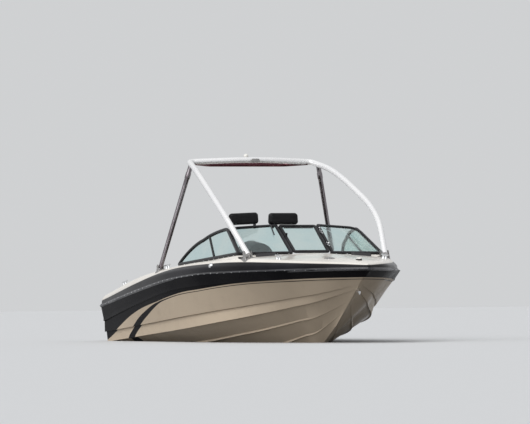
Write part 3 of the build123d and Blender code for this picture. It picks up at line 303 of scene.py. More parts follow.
# %% Shared effect: pebble grain
pebble, ends_in, ends_out = new_group(
    "pebble",
    [("Position", "NodeSocketVector", None), ("Grain", "NodeSocketFloat", 0.002)],
    [("Height", "NodeSocketFloat"), ("Mask", "NodeSocketFloat")],
)
grain_scale = math_node(pebble, "DIVIDE", 1.0, ends_in.outputs["Grain"])
cells = add_node(pebble, "ShaderNodeTexVoronoi", feature="SMOOTH_F1")
cells.inputs["Smoothness"].default_value = 0.6
pebble.links.new(ends_in.outputs["Position"], cells.inputs["Vector"])
pebble.links.new(grain_scale, cells.inputs["Scale"])
creases = add_node(pebble, "ShaderNodeTexNoise")
pebble.links.new(ends_in.outputs["Position"], creases.inputs["Vector"])
pebble.links.new(math_node(pebble, "MULTIPLY", grain_scale, 0.4), creases.inputs["Scale"])
height = math_node(pebble, "ADD", cells.outputs["Distance"], creases.outputs[0])
pebble.links.new(height, ends_out.inputs["Height"])
pebble.links.new(ramp(pebble, creases.outputs[0], 0.4, 0.65), ends_out.inputs["Mask"])
print("group", pebble.name)

# %% Shared effect: brushing
brushing, ends_in, ends_out = new_group(
    "brushing",
    [("Position", "NodeSocketVector", None), ("Stretch", "NodeSocketVector", (4.0, 90.0, 90.0))],
    [("Height", "NodeSocketFloat"), ("Mask", "NodeSocketFloat")],
)
stretched = add_node(brushing, "ShaderNodeVectorMath", operation="MULTIPLY")
brushing.links.new(ends_in.outputs["Position"], stretched.inputs[0])
brushing.links.new(ends_in.outputs["Stretch"], stretched.inputs[1])
lines = noise(brushing, stretched.outputs[0], 3.0, 4.0, 0.6)
brushing.links.new(lines, ends_out.inputs["Height"])
brushing.links.new(ramp(brushing, lines, 0.4, 0.62), ends_out.inputs["Mask"])
print("group", brushing.name)

# %% A finish from its parts
def start_finish(name, roughness=0.4, metallic=0.0, coat=0.0, coat_roughness=0.05, ior=1.5):
    """A material with its shader, its Object coordinates and its position split in axes."""
    material = bpy.data.materials.new(name)
    material.use_nodes = True
    tree = material.node_tree
    shader = tree.nodes["Principled BSDF"]
    shader.inputs["Roughness"].default_value = roughness
    shader.inputs["Metallic"].default_value = metallic
    shader.inputs["Coat Weight"].default_value = coat
    shader.inputs["Coat Roughness"].default_value = coat_roughness
    shader.inputs["IOR"].default_value = ior
    position = add_node(tree, "ShaderNodeTexCoord").outputs["Object"]
    return material, tree, shader, position


def set_bump(tree, shader, height, strength, distance):
    """Feeds a height to the shader's normal."""
    bump = add_node(tree, "ShaderNodeBump")
    bump.inputs["Strength"].default_value = strength
    bump.inputs["Distance"].default_value = distance
    tree.links.new(height, bump.inputs["Height"])
    tree.links.new(bump.outputs["Normal"], shader.inputs["Normal"])


def grained_finish(name, colour, worn, grain, rough=(0.35, 0.55), depth=0.0004, patch=0.4):
    """Moulded plastic, vinyl or rubber: a pebble grain, and a worn colour in patches."""
    material, tree, shader, position = start_finish(name)
    wear = use_group(tree, weather, Position=position, Patch_Size=patch, Dust_Size=grain * 8)
    skin = use_group(tree, pebble, Position=position, Grain=grain)
    tree.links.new(mix_colours(tree, wear.outputs["Mask"], colour, worn), shader.inputs["Base Color"])
    tree.links.new(ramp(tree, wear.outputs["Mask"], 0.0, 1.0, *rough), shader.inputs["Roughness"])
    set_bump(tree, shader, skin.outputs["Height"], 0.35, depth)
    return material


def metal_finish(name, colour, worn, rough=(0.12, 0.3), stretch=(4.0, 90.0, 90.0), depth=0.0001, metal=1.0):
    """Metal with polishing marks and dull patches."""
    material, tree, shader, position = start_finish(name, metallic=metal)
    wear = use_group(tree, weather, Position=position, Patch_Size=0.25, Dust_Size=0.01)
    marks = use_group(tree, brushing, Position=position, Stretch=stretch)
    dull = math_node(tree, "MULTIPLY", wear.outputs["Mask"], marks.outputs["Mask"])
    tree.links.new(mix_colours(tree, dull, colour, worn), shader.inputs["Base Color"])
    tree.links.new(ramp(tree, dull, 0.0, 1.0, *rough), shader.inputs["Roughness"])
    set_bump(tree, shader, marks.outputs["Height"], 0.15, depth)
    return material
# %% [markdown]
# ## Hull
#
# The hull is a chined vee: a flat-sided bottom with two lifting strakes a side, a hard chine, a spray rail,
# a knuckle and a flared topside up to the sheer. The solid is lofted in straight runs between sections, so
# it shows flats in a glossy finish. Here the same table of lines is faired with many more sections, and a
# mesh is laid over them. Chine, spray rail and knuckle each get a small downward ledge.

# %% Lines of the boat in metres
# x0, lean, keel z, chine y z, spray rail y z, knuckle y z, sheer y z
HULL_ROWS = [
    (0, 0.00, -0.330, 0.955, -0.005, 0.992, 0.112, 1.012, 0.238, 1.050, 0.420),
    (1.600, 0.00, -0.345, 0.966, 0.088, 1.008, 0.212, 1.109, 0.446, 1.150, 0.590),
    (3.000, 0.00, -0.330, 0.960, 0.172, 1.004, 0.306, 1.139, 0.608, 1.170, 0.727),
    (3.700, 0.10, -0.265, 0.892, 0.232, 0.928, 0.362, 1.085, 0.652, 1.125, 0.772),
    (4.250, 0.45, -0.205, 0.722, 0.304, 0.762, 0.424, 0.925, 0.681, 0.972, 0.788),
    (4.600, 1.05, -0.120, 0.445, 0.402, 0.484, 0.503, 0.612, 0.704, 0.655, 0.803),
    (4.780, 1.42, -0.055, 0.248, 0.478, 0.274, 0.562, 0.305, 0.702, 0.352, 0.811),
    (4.889, 1.66, 0.190, 0.010, 0.590, 0.013, 0.645, 0.014, 0.700, 0.018, 0.820),
]
# x, edge y, shoulder y z, top edge y z, crown z
DECK_ROWS = [
    (0, 1.050, 1.032, 0.505, 0.985, 0.556, 0.578),
    (1.600, 1.150, 1.134, 0.690, 1.082, 0.768, 0.792),
    (3.000, 1.170, 1.152, 0.815, 1.078, 0.884, 0.905),
    (3.800, 1.116, 1.096, 0.848, 1.000, 0.930, 0.968),
    (4.500, 1.000, 0.972, 0.858, 0.880, 0.950, 1.004),
    (5.150, 0.785, 0.752, 0.858, 0.668, 0.925, 0.968),
    (5.700, 0.520, 0.488, 0.856, 0.418, 0.900, 0.930),
    (6.050, 0.255, 0.232, 0.854, 0.184, 0.882, 0.900),
    (6.236, 0.024, 0.020, 0.850, 0.014, 0.862, 0.868),
]
FAIRING_STEPS = 12


def faired(rows, stations, steps):
    """Rows with more between them, on a smooth curve through each column."""

    def slope(index, column):
        near = max(min(index, len(rows) - 2), 0)
        ahead = stations[near + 1] - stations[near]
        rise_ahead = (rows[near + 1][column] - rows[near][column]) / ahead
        if index in (0, len(rows) - 1):
            return rise_ahead
        behind = stations[index] - stations[index - 1]
        rise_behind = (rows[index][column] - rows[index - 1][column]) / behind
        return (rise_behind * ahead + rise_ahead * behind) / (ahead + behind)

    result = []
    for index in range(len(rows) - 1):
        span = stations[index + 1] - stations[index]
        for step in range(steps):
            t = step / steps
            rise, fall = 3 * t**2 - 2 * t**3, 2 * t**3 - 3 * t**2 + 1
            lift, drag = t**3 - 2 * t**2 + t, t**3 - t**2
            result.append(tuple(
                start * fall + end * rise
                + span * (slope(index, column) * lift + slope(index + 1, column) * drag)
                for column, (start, end) in enumerate(zip(rows[index], rows[index + 1]))
            ))
    return result + [rows[-1]]


HULL_LINES = faired(HULL_ROWS, [row[0] + row[1] * row[-1] for row in HULL_ROWS], FAIRING_STEPS)
DECK_LINES = faired(DECK_ROWS, [row[0] for row in DECK_ROWS], FAIRING_STEPS)
print("hull sections", len(HULL_LINES), "deck sections", len(DECK_LINES))

# %% Sheer line: two straight runs with a long knee between
SHEER_AFT_Z, SHEER_KNEE, SHEER_BOW, KNEE_RADIUS = 0.420, (3.287, 0.768), (6.450, 0.820), 20.4


def sheer_z(x):
    """The height of the line where hull and deck meet."""
    aft_slope = (SHEER_KNEE[1] - SHEER_AFT_Z) / SHEER_KNEE[0]
    fore_slope = (SHEER_BOW[1] - SHEER_KNEE[1]) / (SHEER_BOW[0] - SHEER_KNEE[0])
    reach = KNEE_RADIUS * math.tan((math.atan(aft_slope) - math.atan(fore_slope)) / 2)
    start, end = SHEER_KNEE[0] - reach, SHEER_KNEE[0] + reach
    if x < start:
        return SHEER_KNEE[1] + (x - SHEER_KNEE[0]) * aft_slope
    if x > end:
        return SHEER_KNEE[1] + (x - SHEER_KNEE[0]) * fore_slope
    share = (x - start) / (end - start)
    low = SHEER_KNEE[1] - reach * aft_slope
    high = SHEER_KNEE[1] + reach * fore_slope
    return on_curve(low, SHEER_KNEE[1], high, share)


print("sheer", [round(sheer_z(x), 3) for x in (0, 2, 4, 6.25)])

# %% One section of the hull
STRAKE_SHARES, STRAKE_WIDTH = (0.36, 0.68), 0.038
LEDGE, KNUCKLE_LEDGE = 0.022, 0.014


def hull_section(row):
    """The port half of one section, keel to sheer, as points in metres."""
    x0, lean, keel_z, chine_y, chine_z, spray_y, spray_z, knuckle_y, knuckle_z, sheer_y, sheer_top = row
    fade = min(1.0, chine_y / 0.2)
    slope = (chine_z - keel_z) / chine_y
    width = STRAKE_WIDTH * chine_y / HULL_ROWS[0][3]
    half = [(0.0, keel_z)]
    for share in STRAKE_SHARES:
        y, z = share * chine_y, keel_z + (chine_z - keel_z) * share
        half += [(y, z), (y + width, z), (y + width, z + slope * width)]
    for low_y, low_z, step in ((chine_y, chine_z, LEDGE * fade), (spray_y, spray_z, LEDGE * fade),
                               (knuckle_y, knuckle_z, KNUCKLE_LEDGE * fade)):
        half += [(low_y - step / 2, low_z), (low_y + step / 2, low_z - step / 5)]
    # The topside ends where it meets the sheer line
    low, high = 0.0, 1.3
    for _ in range(30):
        share = (low + high) / 2
        z = knuckle_z + (sheer_top - knuckle_z) * share
        if z < sheer_z(x0 + lean * z):
            low = share
        else:
            high = share
    for step in range(1, 7):
        part = share * step / 6
        half.append((knuckle_y + (sheer_y - knuckle_y) * part, knuckle_z + (sheer_top - knuckle_z) * part))
    return [Vector((x0 + lean * z, y, z)) for y, z in half]


def ring_mesh(name, halves):
    """A closed skin over sections given by their port halves, centreline first, flat across the top."""
    return ringed(name, [half + other_side(half[1:]) for half in halves], "in")


hull = ring_mesh("hull_skin", [hull_section(row) for row in HULL_LINES])
report(hull)

# %% [markdown]
# The cockpit well, the engine bay and the stern locker are hollows in the hull. Each is a closed mesh that a
# Boolean cuts out. The Boolean hands the cutter's material to the faces that it makes, so the liner inside
# is its own finish without any painting by hand.

# %% Finishes of the hull
CREAM = (0.70, 0.58, 0.44)
WHITE = (0.80, 0.77, 0.72)
BLACK = (0.006, 0.006, 0.008)


def float_curve(tree, x, points, reach):
    """The value of a curve of x through points in metres, straight between a few fixed handles."""
    node = add_node(tree, "ShaderNodeFloatCurve")
    tree.links.new(math_node(tree, "DIVIDE", x, reach, clamp=True), node.inputs["Value"])
    curve = node.mapping.curves[0]
    while len(curve.points) > 2:
        curve.points.remove(curve.points[1])
    for index, (along, high) in enumerate(points):
        spot = (along / reach, high + CURVE_LIFT)
        if index < 2:
            curve.points[0 if index == 0 else -1].location = spot
        else:
            curve.points.new(*spot)
    node.mapping.update()
    return math_node(tree, "SUBTRACT", node.outputs[0], CURVE_LIFT)


BAND_EDGE = [(0, 0.01), (6.5, 0.724), (0.3, 0.09), (0.6, 0.175), (1.0, 0.275), (1.27, 0.330), (1.53, 0.376),
             (1.89, 0.426), (2.25, 0.468), (2.6, 0.512), (2.94, 0.552), (3.22, 0.580), (3.6, 0.604),
             (3.96, 0.630), (4.36, 0.660), (4.68, 0.679), (4.94, 0.690), (5.4, 0.706), (5.8, 0.719)]
PIN_TOP = [(0, -0.1), (6.5, 0.709), (0.7, 0.0), (0.9, 0.09), (1.2, 0.21), (1.47, 0.296), (1.78, 0.370),
           (2.07, 0.430), (2.25, 0.459), (2.42, 0.482), (2.6, 0.503), (2.94, 0.541), (3.19, 0.563),
           (3.6, 0.589), (3.92, 0.614), (4.36, 0.645), (4.68, 0.664), (4.94, 0.675), (5.4, 0.690),
           (5.8, 0.703)]
PIN_BOTTOM = [(0, -0.1), (6.5, 0.702), (0.95, 0.0), (1.1, 0.08), (1.35, 0.18), (1.6, 0.262), (1.78, 0.313),
              (2.07, 0.390), (2.3, 0.444), (2.42, 0.466), (2.6, 0.491), (2.94, 0.532), (3.19, 0.555),
              (3.6, 0.582), (3.92, 0.607), (4.36, 0.638), (4.68, 0.657), (4.94, 0.668), (5.4, 0.683),
              (5.8, 0.697)]
EDGE_BLUR, CURVE_REACH, CURVE_LIFT = 0.0015, 6.5, 0.1


def gelcoat(name, colour_of, gloss=1.06, dull=(0.16, 0.30)):
    """Gelcoat: colour from a function, faint orange peel, wipe marks and dust; gloss is its IOR."""
    material, tree, shader, position = start_finish(name, ior=gloss)
    wear = use_group(tree, weather, Position=position, Patch_Size=0.7, Dust_Size=0.015, Dust_Share=0.5)
    colour = colour_of(tree, position)
    dusty = math_node(tree, "MULTIPLY", wear.outputs["Mask"], 0.014)
    tree.links.new(mix_colours(tree, dusty, colour, (0.45, 0.42, 0.38)), shader.inputs["Base Color"])
    tree.links.new(ramp(tree, wear.outputs["Mask"], 0.0, 1.0, *dull), shader.inputs["Roughness"])
    set_bump(tree, shader, noise(tree, position, 160.0, 2.0), 0.04, 0.0004)
    return material


def above_curve(tree, position, points, blur=EDGE_BLUR):
    """One where a spot lies above a curve that runs along the boat, and zero below it."""
    axes = add_node(tree, "ShaderNodeSeparateXYZ")
    tree.links.new(position, axes.inputs[0])
    line = float_curve(tree, axes.outputs[0], points, CURVE_REACH)
    edge = math_node(tree, "SUBTRACT", axes.outputs[2], line)
    return ramp(tree, edge, -blur, blur)


def hull_colour(tree, position):
    """Cream, with the dark band under the sheer and the thin line that sweeps down aft."""
    pin = math_node(tree, "SUBTRACT", above_curve(tree, position, PIN_BOTTOM),
                    above_curve(tree, position, PIN_TOP), clamp=True)
    dark = math_node(tree, "MAXIMUM", above_curve(tree, position, BAND_EDGE), pin)
    scuffs = ramp(tree, noise(tree, position, 4.0, 6.0, 0.65), 0.45, 0.75, 0.0, 0.22)
    cream = mix_colours(tree, scuffs, CREAM, (0.52, 0.42, 0.31))
    return mix_colours(tree, dark, cream, BLACK)


# x, z of the line on the deck's side above which it is pale
SIDE_EDGE = [(0, 0.484), (6.5, 0.850), (0.8, 0.582), (1.6, 0.686), (2.2, 0.764), (2.6, 0.812), (3.0, 0.852),
             (3.8, 0.890), (4.5, 0.906), (5.15, 0.895), (5.7, 0.880), (6.05, 0.868), (6.236, 0.857)]


def pale_colour(tree, position):
    """White gelcoat a little warmer in patches."""
    patches = ramp(tree, noise(tree, position, 3.0, 5.0), 0.35, 0.75)
    return mix_colours(tree, patches, WHITE, (0.76, 0.72, 0.66))


def deck_colour(tree, position):
    """Pale above the line on the deck's side and nearly black below it."""
    patches = ramp(tree, noise(tree, position, 2.0, 3.0), 0.4, 0.7)
    dark = mix_colours(tree, patches, BLACK, (0.012, 0.012, 0.016))
    return mix_colours(tree, above_curve(tree, position, SIDE_EDGE, 0.004), dark, pale_colour(tree, position))


hull_gelcoat = gelcoat("hull_gelcoat", hull_colour)
deck_gelcoat = gelcoat("deck_gelcoat", deck_colour, 1.17, (0.10, 0.24))
pale_gelcoat = gelcoat("pale_gelcoat", pale_colour, 1.3, (0.14, 0.28))
liner_finish = grained_finish("liner", (0.66, 0.63, 0.58), (0.54, 0.51, 0.46), 0.004)
bilge_finish = grained_finish("bilge_paint", (0.16, 0.16, 0.17), (0.10, 0.10, 0.10), 0.006)
print("hull finishes", hull_gelcoat.name, deck_gelcoat.name)

# %% Hollows that are cut out
COCKPIT_AFT, COCKPIT_FRONT, COCKPIT_HALF, COCKPIT_CORNER = 0.740, 3.720, 0.900, 0.160
# x, sole half width, side foot y z, half width at the mouth
WELL_ROWS = [
    (COCKPIT_AFT, 0.640, 0.900, 0.130, 0.930),
    (1.600, 0.640, 0.905, 0.180, 0.930),
    (3.000, 0.560, 0.895, 0.260, 0.930),
    (3.700, 0.430, 0.850, 0.340, 0.925),
    (4.250, 0.230, 0.560, 0.420, 0.640),
]
SOLE_Z, MOUTH_Z = 0.020, 1.4


def well_section(row):
    """The port half of one section of the cockpit well."""
    x, sole_y, foot_y, foot_z, mouth_y = row
    return [Vector((x, 0, SOLE_Z)), Vector((x, sole_y, SOLE_Z)), Vector((x, foot_y, foot_z)),
            Vector((x, mouth_y, MOUTH_Z)), Vector((x, 0.0, MOUTH_Z))]


def rounded_outline(low, high, radius, steps=8):
    """A rectangle with round corners, as x and y pairs, anticlockwise."""
    points = []
    corners = ((high[0], high[1]), (low[0], high[1]), (low[0], low[1]), (high[0], low[1]))
    for turn, (cx, cy) in enumerate(corners):
        inset = Vector(((-1, 1, 1, -1)[turn] * radius, (-1, -1, 1, 1)[turn] * radius))
        for step in range(steps + 1):
            angle = math.radians(90 * turn + 90 * step / steps)
            points.append((cx + inset.x + radius * math.cos(angle), cy + inset.y + radius * math.sin(angle)))
    return points


def prism(name, outline, low, high, material):
    """A closed upright block over an outline."""
    block = ringed(name, [[(x, y, z) for x, y in outline] for z in (low, high)])
    block.data.materials.append(material)
    return block


well_rings = [well_section(row) for row in faired(WELL_ROWS, [row[0] for row in WELL_ROWS], 4)]
well = ring_mesh("well", well_rings)
well.data.materials.append(liner_finish)
bay = prism("bay", rounded_outline((1.840, -0.300), (2.700, 0.300), 0.030), -0.165, 0.5, bilge_finish)
LOCKER_LOW, LOCKER_HIGH, LOCKER_CORNER = (0.150, -0.600), (0.590, 0.600), 0.060
locker = prism("locker", rounded_outline(LOCKER_LOW, LOCKER_HIGH, LOCKER_CORNER), 0.060, MOUTH_Z,
               liner_finish)
opening = prism("opening", rounded_outline((COCKPIT_AFT, -COCKPIT_HALF), (COCKPIT_FRONT, COCKPIT_HALF),
                                           COCKPIT_CORNER, 14), -0.5, 1.6, pale_gelcoat)
print("hollows", well.name, bay.name, locker.name, opening.name)

# %% Cut the hull and stand it in
hull.data.materials.append(hull_gelcoat)
cut(hull, well, bay, locker)
smooth(hull, 22)
dress(hull, "boat", stands_for=["hull"])
report(hull)
# %% [markdown]
# ## Deck
#
# The deck moulding has a dark glossy side above the rub rail, a rounded shoulder and a pale, gently
# crowned top. Its section is a short polyline whose corners are rounded by small curves, because a real
# mould has no knife edges and the highlight along the shoulder is what the eye reads first.

# %% Rounded deck sections
DECK_SKIN = 0.022
TOP_RADIUS, SHOULDER_RADIUS, CROWN_POWER = 0.050, 0.024, 1.15


def rounded_corners(points, reaches, steps=5):
    """A polyline with each inner corner replaced by a small curve."""
    result = [points[0]]
    for before, corner, after, reach in zip(points, points[1:], points[2:], reaches):
        result += eased_corner(before, corner, after, reach, 0.45, steps)
    return result + [points[-1]]


def deck_section(row, inset=0.0):
    """The port half of one deck section, crown to sheer."""
    x, edge_y, shoulder_y, shoulder_z, top_y, top_z, crown_z = row
    low = sheer_z(x)
    foot_share = (low - shoulder_z) / (0.380 - shoulder_z)
    foot_y = shoulder_y + (edge_y - shoulder_y) * foot_share
    corners = [Vector((top_y * part, crown_z + (top_z - crown_z) * part**CROWN_POWER))
               for part in (0, 0.25, 0.5, 0.75)]
    corners += [Vector((top_y, top_z)), Vector((shoulder_y, shoulder_z)), Vector((foot_y, low))]
    half = rounded_corners(corners, (0.01, 0.01, 0.01, TOP_RADIUS, SHOULDER_RADIUS))
    return [Vector((x, p.x * (1 - inset / max(edge_y, 0.1)), p.y - inset)) for p in half]


deck = ring_mesh("deck_top", [deck_section(row) for row in DECK_LINES])
deck.data.materials.append(deck_gelcoat)
hollow_rings = []
for row in DECK_LINES[2:-14]:
    half = deck_section(row, DECK_SKIN)
    floor = sheer_z(row[0]) - 0.05
    hollow_rings.append([Vector((p.x, p.y, max(p.z, floor))) for p in half[:-1]]
                        + [Vector((half[-1].x, half[-1].y, floor))])
hollow = ring_mesh("hollow", hollow_rings)
hollow.data.materials.append(bilge_finish)
report(deck)

# %% Cut the cockpit and the locker out of the deck
cut(deck, hollow, opening, locker)
smooth(deck, 30)
dress(deck, "boat", stands_for=["deck"])
drop(well, bay, locker, opening, hollow)
report(deck)

# %% [markdown]
# ## Rub rail
#
# A rub rail is a rubber section screwed over the joint of hull and deck, with a polished insert bead along
# its middle. Both follow the same line round the boat, so one profile is carried along the sheer: at each
# station the outward direction in plan turns the profile, and the stem is a small half circle of stations.

# %% The sheer as a path with outward directions
def edge_y(row):
    """The deck's half width where it meets the sheer."""
    return deck_section(row)[-1].y


port_path = [Vector((row[0], edge_y(row), sheer_z(row[0]))) for row in DECK_LINES]
nose_x, nose_y = port_path[-1].x, port_path[-1].y
nose = [Vector((nose_x + nose_y * math.sin(math.radians(a)), nose_y * math.cos(math.radians(a)),
                sheer_z(nose_x))) for a in (22, 45, 67, 90, 113, 135, 158)]
path = port_path + nose + other_side(port_path)
NOSE_START, NOSE_SQUEEZE = 6.215, 0.62


def carry_profile(name, path, profile):
    """A closed profile, as out and up pairs, carried along a path round the boat."""
    rings = []
    for index, spot in enumerate(path):
        ahead = path[min(index + 1, len(path) - 1)]
        behind = path[max(index - 1, 0)]
        run = Vector((ahead.x - behind.x, ahead.y - behind.y, 0)).normalized()
        out = Vector((-run.y, run.x, 0))
        rings.append([spot + out * side + Vector((0, 0, up)) for side, up in profile])
        for place in rings[-1]:
            if place.x > NOSE_START:
                place.x = NOSE_START + (place.x - NOSE_START) * NOSE_SQUEEZE
    return ringed(name, rings, "in")


def half_round(depth, height, back, steps=8):
    """A rounded profile that stands out by depth and sinks in by back."""
    arc = [(depth * math.sin(math.radians(a)) ** 0.6, height / 2 * math.cos(math.radians(a)))
           for a in [180 * k / steps for k in range(steps + 1)]]
    return [(-back, height / 2)] + arc + [(-back, -height / 2)]


rubber = grained_finish("rail_rubber", (0.012, 0.012, 0.014), (0.05, 0.05, 0.055), 0.004, (0.3, 0.5))
bright = metal_finish("polished_steel", (0.78, 0.79, 0.80), (0.55, 0.56, 0.58))
rail_insert = metal_finish("rail_insert", (0.10, 0.10, 0.11), (0.05, 0.05, 0.055), (0.25, 0.45))
rail_base = carry_profile("rub_rail_base", path, half_round(0.014, 0.038, 0.006))
rail_bead = carry_profile("rub_rail_bead", path, half_round(0.022, 0.014, -0.010))
dress(smooth(rail_base), "boat", rubber)
dress(smooth(rail_bead), "boat", rail_insert, stands_for=["rub_rail"])
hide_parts("rub_rail")
report(rail_base)
# %% [markdown]
# ## Finishes of the fittings
#
# The fittings share a small set of finishes: black moulded plastic, polished tube, tube with a painted grey
# and maroon reflection, bronze, carpet, teak, two vinyls, a white lens and tinted glass. Making them once
# keeps the same part the same colour wherever it comes back on the boat.

# %% Finishes of the fittings
black_plastic = grained_finish("black_plastic", (0.008, 0.008, 0.009), (0.022, 0.022, 0.023), 0.0025,
                               (0.4, 0.6))
black_plastic.node_tree.nodes["Principled BSDF"].inputs["IOR"].default_value = 1.25
tube_white = metal_finish("bright_tube", (0.93, 0.93, 0.93), (0.82, 0.82, 0.84), (0.26, 0.42),
                          (3.0, 34.0, 34.0), metal=0.35)
# Tube of the rear legs and the pylon: its dark grey and dark maroon worn colour are a painted reflection on
# bright metal
tube_grey_painted_reflection = metal_finish("grey_tube", (0.26, 0.24, 0.25), (0.12, 0.09, 0.10), (0.2, 0.36),
                         (26.0, 26.0, 1.4), 0.00003)
bracket_grey = metal_finish("bracket_metal", (0.42, 0.41, 0.40), (0.22, 0.21, 0.21), (0.3, 0.5))
vinyl_dark = grained_finish("vinyl_dark", (0.05, 0.05, 0.055), (0.09, 0.09, 0.09), 0.003, (0.4, 0.6))
# The next finishes are only found by their names, when the solids are painted
# The rear bar's maroon is a painted reflection on its metal tube
metal_finish("maroon_tube", (0.13, 0.05, 0.06), (0.05, 0.02, 0.025), (0.2, 0.4))
metal_finish("bronze", (0.60, 0.42, 0.20), (0.32, 0.20, 0.09), (0.22, 0.45))
grained_finish("engine_paint", (0.06, 0.065, 0.075), (0.12, 0.12, 0.12), 0.006)
grained_finish("sole_carpet", (0.24, 0.21, 0.18), (0.16, 0.14, 0.12), 0.003, (0.85, 0.95), 0.003)
grained_finish("teak", (0.32, 0.19, 0.09), (0.42, 0.30, 0.18), 0.003, (0.5, 0.75))
grained_finish("vinyl_light", (0.72, 0.68, 0.61), (0.60, 0.56, 0.49), 0.003, (0.4, 0.6))
lens_white, tree, shader, position = start_finish("lens_white", roughness=0.2)
tree.links.new(mix_colours(tree, ramp(tree, noise(tree, position, 60.0), 0.4, 0.7), (0.85, 0.84, 0.80),
                           (0.75, 0.73, 0.68)), shader.inputs["Base Color"])

glass, tree, shader, position = start_finish("tinted_glass", roughness=0.03, ior=1.45)
shader.inputs["Transmission Weight"].default_value = 1.0
haze = use_group(tree, weather, Position=position, Patch_Size=0.3, Dust_Size=0.01)
tree.links.new(mix_colours(tree, haze.outputs["Mask"], (0.68, 0.86, 0.86), (0.76, 0.90, 0.88)),
               shader.inputs["Base Color"])
tree.links.new(ramp(tree, haze.outputs["Mask"], 0.0, 1.0, 0.01, 0.07), shader.inputs["Roughness"])
print("finishes", len(bpy.data.materials))

# %% [markdown]
# ## Windshield
#
# The windshield is five panes of tinted safety glass in a black extruded frame, with a bright insert along
# the extrusion. A frame of this kind is one profile bent round each pane, so each pane here is a closed
# path with rounded corners, the frame is a profile carried round it, and the glass fills it.

# %% Corner points of the panes, port side
POST_FOOT, POST_HEAD = Vector((4.450, 0.246, 1.008)), Vector((3.961, 0.254, 1.320))
CORNER_FOOT, CORNER_HEAD = Vector((4.409, 0.853, 1.000)), Vector((3.829, 0.774, 1.288))
SIDE_TAIL, SIDE_ARC = Vector((2.765, 1.012, 0.884)), Vector((3.160, 0.879, 1.150))
MULLION_FOOT, MULLION_HEAD = Vector((3.724, 0.910, 0.976)), Vector((3.369, 0.838, 1.210))
FRAME_DEPTH, SIDE_DEPTH, POST_WIDTH, GLASS_THICK, PANEL_GAP = 0.026, 0.036, 0.039, 0.006, 0.005
HEAD_RADIUS = 0.13


def closed_path(corners, reaches, steps=8):
    """A closed path whose corners are small curves; each reach is the curve's length along its sides."""
    result = []
    for index, (corner, reach) in enumerate(zip(corners, reaches)):
        before, after = corners[index - 1], corners[(index + 1) % len(corners)]
        result += eased_corner(before, corner, after, reach, 0.48, steps)
    return result


def profile_ring(name, path, normal, width, depth, lift=0.0, round_off=0.35):
    """A rounded bar of a width and depth carried round a closed path in a pane."""
    half_w, half_d, cut_w = width / 2, depth / 2, min(width, depth) * round_off
    profile = [(half_w - cut_w, half_d), (half_w - cut_w * 0.3, half_d - cut_w * 0.3),
               (half_w, half_d - cut_w)]
    profile += [(a, -b) for a, b in reversed(profile)]
    profile += [(-a, b) for a, b in reversed(profile)]
    rings = []
    for index, spot in enumerate(path):
        run = (path[(index + 1) % len(path)] - path[index - 1]).normalized()
        side = run.cross(normal).normalized()
        rings.append([spot + side * a + normal * (b + lift) for a, b in profile])
    return ringed(name, rings, None)


def pane(name, path, normal, thick=GLASS_THICK):
    """A sheet of glass inside a closed path."""
    count = len(path)
    centre = sum(path, Vector()) / count
    points = [p + normal * (s * thick / 2) for s in (-1, 1) for p in [*path, centre]]
    faces = []
    for k in range(count):
        a, b = k, (k + 1) % count
        faces += [(a, b, count), (b + count + 1, a + count + 1, 2 * count + 1),
                  (b, a, a + count + 1, b + count + 1)]
    return tidy_mesh(make_piece(name, points, faces))


def mirrored_copy(obj, name):
    """The same piece on the other side of the boat."""
    points = [Vector((v.co.x, -v.co.y, v.co.z)) for v in obj.data.vertices]
    return tidy_mesh(make_piece(name, points, [tuple(reversed(f.vertices)) for f in obj.data.polygons]))


def joined(name, *objs):
    """One object from several."""
    points, faces = [], []
    for obj in objs:
        base = len(points)
        points += [v.co.copy() for v in obj.data.vertices]
        faces += [tuple(base + k for k in f.vertices) for f in obj.data.polygons]
    whole = make_piece(name, points, faces)
    drop(*objs)
    return whole


def straight_bar(name, start, end, normal, width, depth):
    """A rounded straight bar between two points."""
    run = (end - start).normalized()
    side = run.cross(normal).normalized()
    corner = min(width, depth) * 0.3
    profile = rounded_outline((-width / 2, -depth / 2), (width / 2, depth / 2), corner, 3)
    return ringed(name, [[spot + side * a + normal * b for a, b in profile] for spot in (start, end)])

# %% Frames and panes
front_normal = (CORNER_FOOT - POST_FOOT).cross(POST_HEAD - POST_FOOT).normalized()
side_normal = (SIDE_TAIL - CORNER_FOOT).cross(CORNER_HEAD - CORNER_FOOT).normalized()
front_path = closed_path([POST_FOOT, POST_HEAD, CORNER_HEAD, CORNER_FOOT], [0.012, 0.012, HEAD_RADIUS, 0.03])


def arc_through(start, middle, end, steps=18):
    """Points on a smooth curve from start to end through the middle point."""
    bend = middle * 2 - (start + end) / 2
    return [on_curve(start, bend, end, k / steps) for k in range(steps + 1)]


side_corners = [CORNER_FOOT, *arc_through(SIDE_TAIL, SIDE_ARC, CORNER_HEAD)]
side_reaches = [0.03] + [0.03] + [0.002] * (len(side_corners) - 3) + [HEAD_RADIUS * 0.7]
side_centre = sum(side_corners, Vector()) / len(side_corners)
side_corners = [p + (side_centre - p).normalized() * 0.017 for p in side_corners]
side_path = closed_path(side_corners, side_reaches, 4)
frame_parts = [
    profile_ring("front_frame", front_path, front_normal, POST_WIDTH, FRAME_DEPTH),
    profile_ring("side_frame", side_path, side_normal, POST_WIDTH, SIDE_DEPTH),
    straight_bar("mullion", MULLION_FOOT, MULLION_HEAD, side_normal, 0.028, FRAME_DEPTH),
]
insert_parts = [
    profile_ring("front_insert", front_path, front_normal, 0.005, 0.003, FRAME_DEPTH / 2),
    profile_ring("side_insert", side_path, side_normal, 0.005, 0.003, SIDE_DEPTH / 2),
]
glass_front = pane("front_pane", front_path, front_normal)
glass_side = pane("side_pane", side_path, side_normal)
frame_black = grained_finish("frame_black", (0.008, 0.008, 0.009), (0.02, 0.02, 0.022), 0.004,
                             (0.2, 0.35), 0.0001)
frame_black.node_tree.nodes["Principled BSDF"].inputs["IOR"].default_value = 1.3
